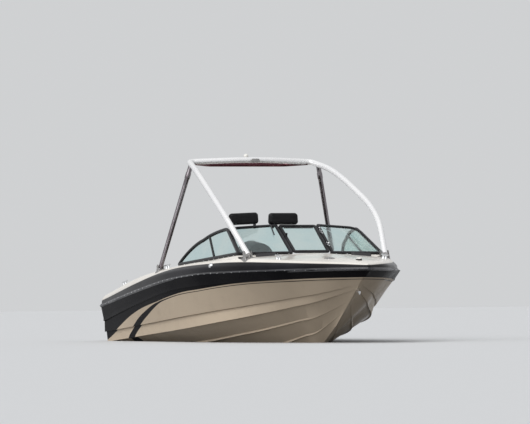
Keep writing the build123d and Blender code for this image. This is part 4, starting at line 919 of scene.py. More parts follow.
frame_obj, insert_obj = (joined(name, *parts, *[mirrored_copy(p, p.name + "_s") for p in parts])
                         for name, parts in (("windshield_bars", frame_parts),
                                             ("windshield_insert", insert_parts)))
front_obj = joined("front_panes", mirrored_copy(glass_front, "s1"), glass_front)
side_obj = joined("side_panes", mirrored_copy(glass_side, "s2"), glass_side)
dress(smooth(frame_obj), "boat", frame_black, ["windshield_frame"])
dress(smooth(insert_obj), "boat", rail_insert)
dress(smooth(front_obj), "boat", glass, ["front_glass"])
dress(smooth(side_obj), "boat", glass, ["side_glass"])
report(frame_obj)

# %% The centre panel on its hinges
PANEL_BAR = 0.038
PANEL_INSET = POST_WIDTH / 2 + PANEL_GAP + PANEL_BAR / 2
panel_normal = Vector((0, 1, 0)).cross(POST_HEAD - POST_FOOT).normalized()
if panel_normal.x < 0:
    panel_normal = -panel_normal
rise = (POST_HEAD - POST_FOOT).normalized() * 0.017
foot_y, head_y = POST_FOOT.y - PANEL_INSET, POST_HEAD.y - PANEL_INSET
panel_corners = [Vector((POST_FOOT.x, y, POST_FOOT.z)) + rise * 1.4 for y in (-foot_y, foot_y)]
panel_corners += [Vector((POST_HEAD.x, y, POST_HEAD.z)) - rise for y in (head_y, -head_y)]
panel_path = closed_path(panel_corners, [0.02] * 4)
panel_obj = profile_ring("centre_panel_bars", panel_path, panel_normal, PANEL_BAR, FRAME_DEPTH)
panel_pane = pane("centre_pane", panel_path, panel_normal)
dress(smooth(panel_obj), "windshield_panel", frame_black, ["centre_panel"])
dress(smooth(panel_pane), "windshield_panel", glass, ["centre_glass"])
report(panel_obj)

# %% [markdown]
# The windshield stands on a raised plinth moulded in the deck, pale like the deck, with a step down to the
# foredeck in front of it. Its section changes all along, because the deck falls away to the sides while the
# frame's sill stays nearly level, so the plinth is a skin between the sill and the deck under it.

# %% Plinth under the windshield
def deck_height(x, y):
    """The height of the deck's top at a place."""
    index = max(i for i, row in enumerate(DECK_LINES[:-1]) if row[0] <= x)
    aft, fore = DECK_LINES[index], DECK_LINES[index + 1]
    share = (x - aft[0]) / (fore[0] - aft[0])
    _, _, shoulder_y, shoulder_z, top_y, top_z, crown_z = [a + (b - a) * share for a, b in zip(aft, fore)]
    if abs(y) <= top_y:
        return crown_z + (top_z - crown_z) * (abs(y) / top_y) ** CROWN_POWER
    return top_z + (shoulder_z - top_z) * (abs(y) - top_y) / (shoulder_y - top_y)


sill = [SIDE_TAIL + (CORNER_FOOT - SIDE_TAIL) * (k / 24) for k in range(2, 24)]
front_sill = [CORNER_FOOT + (POST_FOOT - CORNER_FOOT) * (k / 14) for k in range(1, 15)]
centre_sill = [Vector((POST_FOOT.x, POST_FOOT.y * k, POST_FOOT.z)) for k in (0.8, 0.6, 0.4, 0.2)]
port_sill = sill + [CORNER_FOOT] + front_sill + centre_sill
sill_line = port_sill + [Vector((POST_FOOT.x, 0, POST_FOOT.z))] + other_side(port_sill)
PLINTH_DROP, PLINTH_BED, PLINTH_LEAST = 0.020, 0.006, 0.004
plinth_rings = []
for index, spot in enumerate(sill_line):
    ahead, behind = sill_line[min(index + 1, len(sill_line) - 1)], sill_line[max(index - 1, 0)]
    run = Vector((ahead.x - behind.x, ahead.y - behind.y, 0)).normalized()
    out = Vector((-run.y, run.x, 0)) * -1
    if out.dot(Vector((spot.x - 3.2, spot.y, 0))) < 0:
        out = -out
    top = spot.z - PLINTH_DROP
    plinth_rings.append([])
    for reach, height in ((-0.022, None), (-0.022, top), (0.034, top), (0.048, top - 0.005), (0.060, None)):
        place = spot + out * reach
        place.z = deck_height(place.x, place.y) - PLINTH_BED
        if height is not None:
            place.z = max(height, place.z + PLINTH_LEAST)
        plinth_rings[-1].append(place)
plinth = smooth(ringed("windshield_plinth", plinth_rings, "in"), 30)
dress(plinth, "boat", pale_gelcoat)
report(plinth)
# %% [markdown]
# ## Tower
#
# The tow tower's front hoop is one bright bent tube from deck to deck, and a bender leaves long smooth arcs
# with no flats. A tube mesh is carried along a path with wide rounded corners. The rear legs are straight
# tubes with a clamp sleeve near the head, their dark grey and maroon streaks a painted reflection, and they
# end inside the hoop, where they are welded. The rear bar keeps its solid, its maroon a painted reflection,
# and a small oval clamp plate covers the joint in the middle of the hoop.

# %% Front hoop
HOOP_POINTS = [Vector(p) for p in ((4.604, 0.819, 0.985), (4.093, 0.933, 1.471), (2.957, 0.851, 1.965),
                                   (2.422, 0.750, 2.080), (2.521, 0.0, 2.106))]
HOOP_REACHES = [0.463, 0.60, 0.070, 0.339]


def tube(name, path, radii, sides, closed=False):
    """A round tube along a path, with a radius at each place, capped at its ends or closed on itself."""
    rings = []
    level = Vector((0, 0, 1))
    last = len(path) - 1
    for index, (spot, radius) in enumerate(zip(path, radii)):
        ahead = path[(index + 1) % len(path) if closed else min(index + 1, last)]
        behind = path[index - 1 if closed else max(index - 1, 0)]
        run = (ahead - behind).normalized()
        level = (level - run * level.dot(run)).normalized()
        up = run.cross(level)
        rings.append([spot + (level * math.cos(angle) + up * math.sin(angle)) * radius
                      for angle in (2 * math.pi * k / sides for k in range(sides))])
    return ringed(name, rings, None if closed else "out")


def evened(path, gap=0.03):
    """The same path with extra points, so that no run is longer than a gap."""
    result = [path[0]]
    for start, end in zip(path, path[1:]):
        parts = max(1, math.ceil((end - start).length / gap))
        result += [start + (end - start) * (k / parts) for k in range(1, parts + 1)]
    return result


hoop_corners = HOOP_POINTS + other_side(HOOP_POINTS[:-1])
reaches = HOOP_REACHES + HOOP_REACHES[-2::-1]
hoop_path = evened(rounded_corners(hoop_corners, reaches, 16))
HOOP_RADIUS = 0.033
hoop = tube("hoop_tube", hoop_path, [HOOP_RADIUS] * len(hoop_path), 28)
dress(smooth(hoop, 50), "boat", tube_white, ["tower_hoop"])
report(hoop)

# %% Rear legs
LEG_FOOT, LEG_HEAD = Vector((2.306, 1.076, 0.850)), Vector((2.575, 0.781, 2.044))
LEG_THIN, LEG_THICK, SLEEVE_ROUND = 0.0255, 0.0275, 0.0315
SLEEVE_LOW, SLEEVE_HIGH, SLEEVE_EDGE = 0.862, 0.925, 0.006


def leg_radius(share):
    """The leg's radius at a share of its length, with the sleeve's softened ends."""
    plain = LEG_THIN + (LEG_THICK - LEG_THIN) * share
    inside = min(share - SLEEVE_LOW, SLEEVE_HIGH - share) / SLEEVE_EDGE
    return plain + (SLEEVE_ROUND - plain) * max(0.0, min(1.0, inside))


leg_shares = [k / 24 for k in range(20)] + [SLEEVE_LOW, SLEEVE_LOW + SLEEVE_EDGE, 0.89,
                                            SLEEVE_HIGH - SLEEVE_EDGE, SLEEVE_HIGH, 0.96, 1.0]
leg_path = [LEG_FOOT.lerp(LEG_HEAD, s) for s in leg_shares]
port_leg = tube("rear_leg", leg_path, [leg_radius(s) for s in leg_shares], 28)
legs = joined("rear_legs", mirrored_copy(port_leg, "rear_leg_starboard"), port_leg)
# The legs' dark grey with maroon streaks is a painted reflection
dress(smooth(legs, 40), "boat", tube_grey_painted_reflection, ["tower_legs"])
report(legs)

# %% Clamp plate in the middle of the hoop
PLATE_X, PLATE_Y, PLATE_Z, PLATE_SIZE = 2.520, 0.014, 2.094, (0.105, 0.042)
half_w, half_h = PLATE_SIZE[0] / 2, PLATE_SIZE[1] / 2
oval = rounded_outline((-half_w, -half_h), (half_w, half_h), 0.0205, 8)
plate_rings = [[(PLATE_X + HOOP_RADIUS * 0.86 + out, PLATE_Y + y * share, PLATE_Z + z * share)
                for y, z in oval] for out, share in ((0.0, 1.0), (0.006, 1.0), (0.009, 0.86))]
clamp_plate = smooth(ringed("clamp_plate", plate_rings), 40)
dress(clamp_plate, "boat", bracket_grey)
report(clamp_plate)
# %% [markdown]
# ## Solids that keep their shape
#
# Fittings and running gear have the right shape already, or are only softened below. They get their finish
# by name. A solid that a finer piece stands for isn't painted.

# %% Paint the solids
FINISH_OF = {
    "polished_steel": ["bow_eye", "transom_eyes", "exhaust_outlets", "hinge_lugs", "locker_hinges",
                       "engine_hinges", "platform_brackets", "steering_column", "propeller_shaft",
                       "shaft_strut"],
    "black_plastic": ["cowl_vents", "panel_hinges", "wiper", "throttle", "dash", "steering_wheel",
                      "mirror_arms"],
    # The grey tube's dark grey and maroon streaks are a painted reflection
    "grey_tube": ["tow_pylon"],
    # The rear bar's maroon is a painted reflection
    "maroon_tube": ["tower_rear_bar"],
    "bracket_metal": ["tower_feet"],
    "bronze": ["propeller", "rudder", "tracking_fins"],
    "engine_paint": ["engine_block"],
    "sole_carpet": ["cockpit_sole"],
    "teak": ["swim_platform"],
    "vinyl_dark": ["seat_bases", "bench_base", "engine_box"],
}
for finish, members in FINISH_OF.items():
    for member in members:
        paint(member, bpy.data.materials[finish])
print("painted solids", sum(len(members) for members in FINISH_OF.values()))
# %% [markdown]
# ## Things that repeat
#
# Screws along the rub rail and stitches along the seams are one small stamp repeated at an even pitch. A
# Geometry Nodes tree does that: it walks a path, turns the stamp to the path and to the surface, varies
# its size a little with a fixed seed, and gives real mesh with its finish.

# %% A tree that repeats a stamp along a path
def build_repeat_tree():
    """Geometry Nodes: stamps along a path whose points carry an up direction."""
    tree = bpy.data.node_groups.new("repeat_along", "GeometryNodeTree")
    sockets = {}
    for title, kind, default in (("Path", "NodeSocketGeometry", None), ("Pitch", "NodeSocketFloat", 0.1),
                                 ("Spread", "NodeSocketFloat", 0.04), ("Seed", "NodeSocketInt", 3),
                                 ("Stamp", "NodeSocketObject", None), ("Finish", "NodeSocketMaterial", None)):
        socket = tree.interface.new_socket(title, in_out="INPUT", socket_type=kind)
        if default is not None:
            socket.default_value = default
        sockets[title] = socket.identifier
    tree.interface.new_socket("Mesh", in_out="OUTPUT", socket_type="NodeSocketGeometry")
    ends_in, ends_out = tree.nodes.new("NodeGroupInput"), tree.nodes.new("NodeGroupOutput")
    curve = tree.nodes.new("GeometryNodeMeshToCurve")
    even = add_node(tree, "GeometryNodeResampleCurve", mode="LENGTH")
    up = add_node(tree, "GeometryNodeInputNamedAttribute", data_type="FLOAT_VECTOR")
    up.inputs["Name"].default_value = "up"
    stand = add_node(tree, "FunctionNodeAlignRotationToVector", axis="Z")
    along = add_node(tree, "FunctionNodeAlignRotationToVector", axis="X", pivot_axis="Z")
    tangent = tree.nodes.new("GeometryNodeInputTangent")
    stamp = tree.nodes.new("GeometryNodeObjectInfo")
    size = add_node(tree, "FunctionNodeRandomValue", data_type="FLOAT")
    place = tree.nodes.new("GeometryNodeInstanceOnPoints")
    real = tree.nodes.new("GeometryNodeRealizeInstances")
    finish = tree.nodes.new("GeometryNodeSetMaterial")
    link = tree.links.new
    link(ends_in.outputs["Path"], curve.inputs["Mesh"])
    link(curve.outputs[0], even.inputs["Curve"])
    link(ends_in.outputs["Pitch"], even.inputs["Length"])
    link(up.outputs["Attribute"], stand.inputs["Vector"])
    link(stand.outputs[0], along.inputs["Rotation"])
    link(tangent.outputs[0], along.inputs["Vector"])
    link(ends_in.outputs["Stamp"], stamp.inputs["Object"])
    link(math_node(tree, "SUBTRACT", 1.0, ends_in.outputs["Spread"]), size.inputs[2])
    link(math_node(tree, "ADD", 1.0, ends_in.outputs["Spread"]), size.inputs[3])
    link(ends_in.outputs["Seed"], size.inputs["Seed"])
    link(even.outputs[0], place.inputs["Points"])
    link(stamp.outputs["Geometry"], place.inputs["Instance"])
    link(along.outputs[0], place.inputs["Rotation"])
    link(size.outputs[1], place.inputs["Scale"])
    link(place.outputs[0], real.inputs[0])
    link(real.outputs[0], finish.inputs["Geometry"])
    link(ends_in.outputs["Finish"], finish.inputs["Material"])
    link(finish.outputs[0], ends_out.inputs[0])
    return tree, sockets


repeat_tree, repeat_sockets = build_repeat_tree()


def repeat_along(name, paths, stamp, finish, pitch, spread=0.04, seed=3):
    """Stamps at an even pitch along paths; each path is a list of place and up direction."""
    points, edges, ups = [], [], []
    for path in paths:
        base = len(points)
        points += [tuple(p) for p, _ in path]
        ups += [tuple(u) for _, u in path]
        edges += [(base + k, base + k + 1) for k in range(len(path) - 1)]
    mesh = bpy.data.meshes.new(name)
    mesh.from_pydata(points, edges, [])
    attribute = mesh.attributes.new("up", "FLOAT_VECTOR", "POINT")
    attribute.data.foreach_set("vector", [c for u in ups for c in u])
    obj = bpy.data.objects.new(name, mesh)
    scene.collection.objects.link(obj)
    step = obj.modifiers.new("repeat", "NODES")
    step.node_group = repeat_tree
    for title, value in (("Pitch", pitch), ("Spread", spread), ("Seed", seed), ("Stamp", stamp),
                         ("Finish", finish)):
        step[repeat_sockets[title]] = value
    apply_modifiers(obj)
    report(obj)
    return obj


def turned(name, rings, sides=14):
    """A small turned stamp at the origin, its axis along Z, from pairs of radius and height."""
    angles = [2 * math.pi * k / sides for k in range(sides)]
    return ringed(name, [[(radius * math.cos(a), radius * math.sin(a), height) for a in angles]
                         for radius, height in rings])

# %% Screws in the rub rail and the windshield's sill
screw = smooth(turned("screw", [(0.0050, -0.003), (0.0055, 0.0), (0.0050, 0.0012), (0.0034, 0.0019),
                                (0.0016, 0.0019), (0.0014, 0.0006)]), 30)
SCREW_OUT = 0.0215
rail_paths = [[(Vector((p.x, side * (p.y + SCREW_OUT), p.z)), Vector((0, side, 0))) for p in port_path[2:-6]]
              for side in (1, -1)]
sill_paths = []
for side in (1, -1):
    for start, end in ((SIDE_TAIL, CORNER_FOOT), (CORNER_FOOT, POST_FOOT)):
        out = (Vector((end.y - start.y, start.x - end.x, 0))).normalized()
        if out.dot(Vector((start.x - 3.0, start.y, 0))) < 0:
            out = -out
        row = [start.lerp(end, 0.06 + 0.88 * k / 12) + out * 0.027 + Vector((0, 0, -0.0105))
               for k in range(13)]
        sill_paths.append([(Vector((p.x, side * p.y, p.z)), Vector((0, 0, 1))) for p in row])
for name, paths, pitch in (("rail_screws", rail_paths, 0.152), ("sill_screws", sill_paths, 0.125)):
    dress(repeat_along(name, paths, screw, bright, pitch), "boat")
# %% [markdown]
# ## Fittings with softened edges
#
# Moulded and cast parts have small radii on every edge, and those radii are what catches the light. A copy
# of each blocky solid is cleaned of its loose triangles and bevelled, and it stands in the solid's place.

# %% Soften the blocky solids
def soften(node, width, body="boat", material=None, segments=2, angle=28.0):
    """A copy of a solid with its edges rounded, in the solid's place."""
    form = bmesh.new()
    form.from_mesh(nodes[node].data)
    bmesh.ops.remove_doubles(form, verts=form.verts, dist=2e-5)
    bmesh.ops.dissolve_limit(form, angle_limit=math.radians(2), verts=form.verts, edges=form.edges)
    sharp = [e for e in form.edges if len(e.link_faces) == 2 and e.calc_face_angle(0.0) > math.radians(angle)]
    bmesh.ops.bevel(form, geom=sharp, offset=width, segments=segments, profile=0.5, affect="EDGES",
                    clamp_overlap=True)
    bmesh.ops.recalc_face_normals(form, faces=form.faces)
    mesh = bpy.data.meshes.new(node + "_soft")
    form.to_mesh(mesh)
    form.free()
    piece = bpy.data.objects.new(node + "_soft", mesh)
    scene.collection.objects.link(piece)
    dress(smooth(piece, 40), body, material or nodes[node].data.materials[0], [node])
    return piece


SOFTENED = [("dash", 0.008, "black_plastic"), ("engine_box", 0.006, "vinyl_dark"),
            ("seat_bases", 0.005, "black_plastic"), ("bench_base", 0.008, "vinyl_dark"),
            ("throttle", 0.002, "black_plastic"), ("platform_brackets", 0.002, "steel"),
            ("mirror_arms", 0.002, "black_plastic"), ("tower_feet", 0.0015, "steel"),
            ("engine_block", 0.006, "engine_paint"), ("shaft_strut", 0.002, "bronze")]
for node, width, slot in SOFTENED:
    report(soften(node, width))

# %% [markdown]
# ## Mirrors
#
# Each mirror is a shallow moulded shell with a domed back and round upper corners, and a sheet of mirror
# glass set into its rim. The shell is a grid swept from the rim to the dome, so it has one soft surface.

# %% Mirror shells and glass
MIRRORS = [(3.885, -0.610, 1.398, 0.014), (3.905, -0.140, 1.396, 0.0)]
MIRROR_SIZE, MIRROR_DEPTH, MIRROR_RIM = (0.345, 0.130), 0.055, 0.006
mirror_face = metal_finish("mirror_face", (0.86, 0.88, 0.90), (0.74, 0.76, 0.78), (0.02, 0.06))


def arched(outline, arch=0.007):
    """The outline with its top edge arched and its lower corners tightened."""
    half = max(a for a, _ in outline)
    return [(a, b + arch * (1 - (a / half) ** 2)) if b > 0 else (a * 1.02, b) for a, b in outline]


def mirror_shell(name, x, y, z, rise):
    """A domed shell; rise lifts its port end, as the mirror on its arm is a little turned."""
    width, height = MIRROR_SIZE
    outline = arched(rounded_outline((-width / 2, -height / 2), (width / 2, height / 2), 0.034, 6))
    rings = [(0.962, 0.012), (0.962, 0.003), (0.98, 0.0), (1.0, 0.003), (1.0, 0.020), (0.97, 0.034),
             (0.88, 0.046), (0.68, 0.053), (0.35, MIRROR_DEPTH)]
    shell = []
    for share, depth in rings:
        inset = (1 - share) * height / 2
        shrink = [(a - math.copysign(inset, a), b * share) for a, b in outline]
        shell.append([(x - MIRROR_DEPTH / 2 + depth, y + a, z + b + rise * a / width) for a, b in shrink])
    return ringed(name, shell, "in")


shells, faces_of_glass = [], []
for index, (x, y, z, rise) in enumerate(MIRRORS):
    shells.append(mirror_shell(f"shell_{index}", x, y, z, rise))
    half_w, half_h = MIRROR_SIZE[0] / 2 - MIRROR_RIM, MIRROR_SIZE[1] / 2 - MIRROR_RIM
    outline = arched(rounded_outline((-half_w, -half_h), (half_w, half_h), 0.030, 6))
    sheet = [[(x - MIRROR_DEPTH / 2 + depth, y + a, z + b + rise * a / MIRROR_SIZE[0]) for a, b in outline]
             for depth in (0.007, 0.012)]
    faces_of_glass.append(ringed(f"glass_{index}", sheet))
mirrors = joined("mirror_shells", *shells)
mirror_glass = joined("mirror_glass", *faces_of_glass)
dress(smooth(mirrors, 50), "boat", black_plastic, ["mirrors"])
dress(smooth(mirror_glass), "boat", mirror_face, ["mirrors"])
report(mirrors)

# %% [markdown]
# ## Small deck fittings
#
# The bow light is a black housing with a pale lens band on top, and the all-round light is a white globe on a
# short neck. They are small, but they stand alone against the pale deck and the sky.

# %% Bow light
low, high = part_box("bow_light")
mid_x, length, width = (low[0] + high[0]) / 2, high[0] - low[0], high[1] - low[1]
SOFT_EDGE = 0.006


def light_block(name, low_z, high_z, grow, material):
    """One layer of the bow light, an oval block with a soft top edge."""
    outline, inner = (rounded_outline((mid_x - length / 2 - reach, -width / 2 - reach),
                                      (mid_x + length / 2 + reach, width / 2 + reach), width * round_off, 8)
                      for reach, round_off in ((grow, 0.42), (grow - SOFT_EDGE, 0.36)))
    layers = ((outline, low_z), (outline, high_z - 0.004), (inner, high_z))
    block = ringed(name, [[(x, y, z) for x, y in loop] for loop, z in layers])
    return dress(smooth(block, 50), "boat", material, ["bow_light"])


split = low[2] + (high[2] - low[2]) * 0.5
report(light_block("bow_light_housing", low[2], split, 0.0, black_plastic))
report(light_block("bow_light_lens", split, high[2], -0.004, lens_white))

# %% All-round light on the rear bar
LIGHT_X, LIGHT_Z = 2.27, 2.052
beacon = turned("all_round_light", [(0.020, 0.020), (0.024, 0.030), (0.024, 0.048), (0.017, 0.054),
                                    (0.015, 0.066), (0.021, 0.072), (0.027, 0.080), (0.028, 0.104),
                                    (0.025, 0.114), (0.016, 0.122), (0.006, 0.1255)], 28)
beacon.data.transform(Matrix.Translation((LIGHT_X, 0, LIGHT_Z)))
dress(smooth(beacon, 40), "boat", lens_white, ["top_light"])
report(beacon)

# %% Domed filler cap and the hinge bolts
low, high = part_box("filler_cap")
centre = (Vector(low) + Vector(high)) / 2
cap_normal = Vector((0.164, -0.986 if centre.y < 0 else 0.986, 0.04)).normalized()
cap = turned("filler_cap_dome", [(0.033, -0.004), (0.033, 0.004), (0.030, 0.007), (0.026, 0.007),
                                 (0.0255, 0.014), (0.021, 0.021), (0.012, 0.0255), (0.003, 0.027)], 40)
cap.data.transform(Matrix.Translation(centre) @ cap_normal.to_track_quat("Z", "Y").to_matrix().to_4x4())
dress(smooth(cap, 40), "boat", bright, ["filler_cap"])
BOLT_SPOTS = [(4.026, 0.250, 1.279), (4.297, 0.256, 1.106)]
bolts = []
for index, spot in enumerate(BOLT_SPOTS):
    head = turned(f"bolt_{index}", [(0.011, -0.002), (0.011, 0.004), (0.008, 0.007), (0.003, 0.008)], 20)
    head.data.transform(Matrix.Translation(Vector(spot) + panel_normal * (FRAME_DEPTH / 2 + 0.001))
                        @ panel_normal.to_track_quat("Z", "Y").to_matrix().to_4x4())
    bolts.append(head)
bolt_heads = joined("post_bolts", *bolts)
dress(smooth(bolt_heads, 40), "boat", bright)
report(cap)
# %% [markdown]
# ## Cushions
#
# Upholstery on a boat is foam with vinyl pulled over it, so a cushion crowns in the middle, its sides bow
# out a little and its corners stay round. Each pad starts as a closed block a little smaller than its
# solid, is remeshed evenly, and is blown up as cloth with a small pressure. No point may move farther
# than the foam would let it, and no point may leave the pad's own space. All pads are stepped together.

# %% Blocks that the pads start from
VOXEL, PRESSURE, SIM_FRAMES = 0.012, 4.0, 20
PADS, GUIDES = [], {}


def block_between(name, outline, place, low, high, face=1):
    """A closed block; place turns outline and height into a point, and face 0 shows the low side."""
    GUIDES[name] = [Vector(place(a, b, high if face else low)) for a, b in outline]
    return ringed(name, [[place(a, b, c) for a, b in outline] for c in (low, high)])


def add_pad(obj, body, finish, node, limit, *space):
    """Remembers a block as a pad: how far it may swell and the box it has to stay in."""
    PADS.append((obj, body, finish, node, limit, [Vector(c) for c in space]))


def flat(a, b, c):
    """An outline in plan, its height up."""
    return (a, b, c)


def across(a, b, c):
    """An outline of width and height, its thickness along the boat."""
    return (c, a, b)


def along_side(a, b, c):
    """An outline of length and height, its thickness across the boat."""
    return (a, c, b)


SEAT_EDGES = (-0.829, -0.279, 0.279, 0.829)
for index, (left, right) in enumerate(zip(SEAT_EDGES, SEAT_EDGES[1:])):
    left_in, right_in = left + 0.010, right - 0.010
    seat = block_between(f"bench_seat_{index}", rounded_outline((0.754, left_in), (1.254, right_in), 0.05, 5),
                         flat, 0.284, 0.384)
    add_pad(seat, "boat", "vinyl_light", "bench_cushion", 0.018, (0.745, left, 0.2815), (1.263, right, 0.402))
    back = block_between(f"bench_back_{index}", rounded_outline((left_in, 0.410), (right_in, 0.600), 0.05, 5),
                         across, 0.754, 0.838)
    add_pad(back, "boat", "vinyl_light", "bench_back", 0.016, (0.745, left, 0.4015), (0.854, right, 0.611))

PAD_AFT, PAD_FRONT, PAD_HEIGHT, PAD_FACE = (1.33, 0.47), (3.48, 0.64), 0.16, 0.845
SIDES = {"port": 1, "starboard": -1}
for label, side in SIDES.items():
    corners = [(PAD_AFT[0] + 0.012, PAD_AFT[1] + 0.010), (PAD_FRONT[0] - 0.012, PAD_FRONT[1] + 0.010),
               (PAD_FRONT[0] - 0.012, PAD_FRONT[1] + PAD_HEIGHT - 0.010),
               (PAD_AFT[0] + 0.012, PAD_AFT[1] + PAD_HEIGHT - 0.010)]
    outline = [tuple(p)[:2] for p in closed_path([Vector((a, b, 0)) for a, b in corners], [0.05] * 4, 5)]
    pad = block_between(f"side_pad_{label}", outline, along_side, side * (PAD_FACE + 0.012), side * 0.892, 0)
    inner, outer = sorted((side * PAD_FACE, side * 0.893))
    add_pad(pad, "boat", "vinyl_light", "side_pads", 0.014,
            (PAD_AFT[0], inner, PAD_AFT[1]), (PAD_FRONT[0], outer, PAD_FRONT[1] + PAD_HEIGHT))

LID_TOP, LID_SPLIT = 0.560, 0.5035
lid_pad = block_between("engine_lid_pad", rounded_outline((1.822, -0.334), (2.718, 0.334), 0.06, 6), flat,
                        0.505, 0.546)
add_pad(lid_pad, "engine_cover", "vinyl_light", "engine_lid", 0.016,
        (1.812, -0.345, LID_SPLIT), (2.728, 0.345, LID_TOP + 0.002))

BOLSTER, SEAT_WIDTH, SEAT_DEPTH, BACK_THICK, SEAT_BED = 0.06, 0.48, 0.47, 0.11, 0.3005
for label, seat_x, seat_y, facing in (("driver", 3.06, -0.44, 1), ("observer", 3.18, 0.44, -1)):
    node = label + "_seat"
    rear, front = seat_x - facing * SEAT_DEPTH / 2, seat_x + facing * SEAT_DEPTH / 2
    back_face = rear + facing * BACK_THICK
    inner = SEAT_WIDTH / 2 - BOLSTER
    low_x, high_x = sorted((back_face, front))
    cushion = block_between(f"{label}_cushion", rounded_outline((low_x + 0.004, seat_y - inner + 0.004),
                            (high_x - 0.010, seat_y + inner - 0.004), 0.05, 5), flat, 0.304, 0.404)
    add_pad(cushion, "boat", "vinyl_light", node, 0.018,
            (low_x - 0.01, seat_y - inner - 0.01, SEAT_BED), (high_x, seat_y + inner + 0.01, 0.421))
    back_low, back_high = sorted((rear + facing * 0.010, back_face - facing * 0.012))
    half = SEAT_WIDTH / 2
    back = block_between(f"{label}_back", rounded_outline((seat_y - half + 0.012, 0.310),
                         (seat_y + half - 0.012, 0.788), 0.09, 7), across, back_low, back_high,
                         int(facing > 0))
    add_pad(back, "boat", "vinyl_dark", node, 0.016,
            (min(rear, back_face), seat_y - half, SEAT_BED), (max(rear, back_face), seat_y + half, 0.801))
    wing_low, wing_high = sorted((back_face - facing * 0.01, back_face + facing * 0.250))
    for turn in (-1, 1):
        y_low, y_high = sorted((seat_y + turn * (inner + 0.006), seat_y + turn * (SEAT_WIDTH / 2 - 0.008)))
        wing = block_between(f"{label}_bolster_{'port' if turn > 0 else 'starboard'}",
                             rounded_outline((wing_low + 0.006, 0.310), (wing_high - 0.008, 0.528), 0.07, 7),
                             along_side, y_low, y_high)
        add_pad(wing, "boat", "vinyl_dark", node, 0.012,
                (wing_low, y_low - 0.012, SEAT_BED), (wing_high, y_high + 0.010, 0.541))


def lid_section(x, half_y, low, high):
    """The port half of a lid's section, from low to high above the deck."""
    under, over = ([Vector((x, half_y * k / 8, deck_height(x, half_y * k / 8) + lift)) for k in range(9)]
                   for lift in (low, high))
    return under + over[::-1]


half_rows = []
for step in range(25):
    share = step / 24
    x = 0.127 + (0.613 - 0.127) * share
    end = 0.05 * (1 - math.sin(math.acos(max(-1.0, min(1.0, 1 - 2 * min(share, 1 - share) / 0.2))))) \
        if min(share, 1 - share) < 0.1 else 0.0
    half_rows.append(lid_section(x, 0.622 - end, 0.004, 0.030))
stern_pad = ring_mesh("locker_lid_pad", half_rows)
add_pad(stern_pad, "stern_lid", "vinyl_light", "locker_lid", 0.009,
        (0.116, -0.634, 0.45), (0.624, 0.634, 0.90))
print("pads", len(PADS))

# %% Swell the pads as cloth, all at once
def remeshed(obj):
    """An even skin over a block."""
    step = obj.modifiers.new("remesh", "REMESH")
    step.mode, step.voxel_size = "VOXEL", VOXEL
    return apply_modifiers(obj)


starts = {}
for obj, *_ in PADS:
    remeshed(obj)
    starts[obj.name] = [v.co.copy() for v in obj.data.vertices]
    cloth = obj.modifiers.new("cloth", "CLOTH")
    cloth.settings.quality = 4
    cloth.settings.mass = 0.3
    cloth.settings.use_pressure = True
    cloth.settings.uniform_pressure_force = PRESSURE
    cloth.settings.effector_weights.gravity = 0.0
    cloth.point_cache.frame_start, cloth.point_cache.frame_end = 1, SIM_FRAMES
for frame_number in range(1, SIM_FRAMES + 1):
    scene.frame_set(frame_number)
print("pad points", sum(len(v) for v in starts.values()))

# %% Cap the swelling, keep each pad in its space and smooth it once
def settle(obj, limit, space):
    """The swollen shape as a plain mesh, no point moved past its limit or out of its box."""
    apply_modifiers(obj)
    low, high = space
    for vertex, start in zip(obj.data.vertices, starts[obj.name]):
        move = vertex.co - start
        if move.length > limit:
            move *= limit / move.length
        spot = start + move
        vertex.co = [min(max(c, a), b) for c, a, b in zip(spot, low, high)]
    step = obj.modifiers.new("smooth", "SUBSURF")
    step.levels = step.render_levels = 1
    apply_modifiers(obj)
    return obj


for obj, _, _, _, limit, space in PADS:
    settle(obj, limit, space)
print("settled", sum(len(p[0].data.polygons) for p in PADS), "faces")
# %% [markdown]
# Seams come after the swelling, because an even skin has no room for them. A channel is pressed into the
# vinyl where it is quilted to the foam, a welt is sewn round the edge of the face, and stitches follow
# every channel. Welts and stitches take their places from the finished skin, so they lie on it.

# %% Channels, welts and stitches
CHANNEL_DEPTH, CHANNEL_WIDTH, WELT_RADIUS = 0.007, 0.012, 0.0045
STITCH_PITCH = 0.009


def press_channels(obj, coordinate, places, facing, depth=CHANNEL_DEPTH):
    """Presses channels into the side of a pad that faces a direction."""
    facing = Vector(facing)
    normals = [v.normal.copy() for v in obj.data.vertices]
    for vertex, normal in zip(obj.data.vertices, normals):
        share = max(0.0, normal.dot(facing))
        if share <= 0.2:
            continue
        along = coordinate(vertex.co)
        near = min(places, key=lambda place: abs(place - along))
        vertex.co -= facing * (depth * share * math.exp(-((along - near) / CHANNEL_WIDTH) ** 2))
    obj.data.update()


def skin_of(obj):
    """A search tree of a pad's skin."""
    return BVHTree.FromPolygons([v.co for v in obj.data.vertices], [f.vertices for f in obj.data.polygons])


def on_skin(tree, spot, facing, lift=0.0):
    """The place on a skin under a spot, looking against a direction, with its normal."""
    facing = Vector(facing)
    place, normal, _, _ = tree.ray_cast(spot + facing * 0.3, -facing)
    return None if place is None else (place + normal * lift, normal)


def welt_for(obj, guide):
    """A welt on a pad's skin, from the outline that the pad started from."""
    tree = skin_of(obj)
    rough = evened([*guide, guide[0]], 0.02)[:-1]
    path = [tree.find_nearest(p)[0] for p in rough]
    for _ in range(2):
        path = [(path[k - 1] + path[k] * 2 + path[(k + 1) % len(path)]) / 4 for k in range(len(path))]
    return tube(obj.name + "_welt", path, [WELT_RADIUS] * len(path), 8, closed=True)


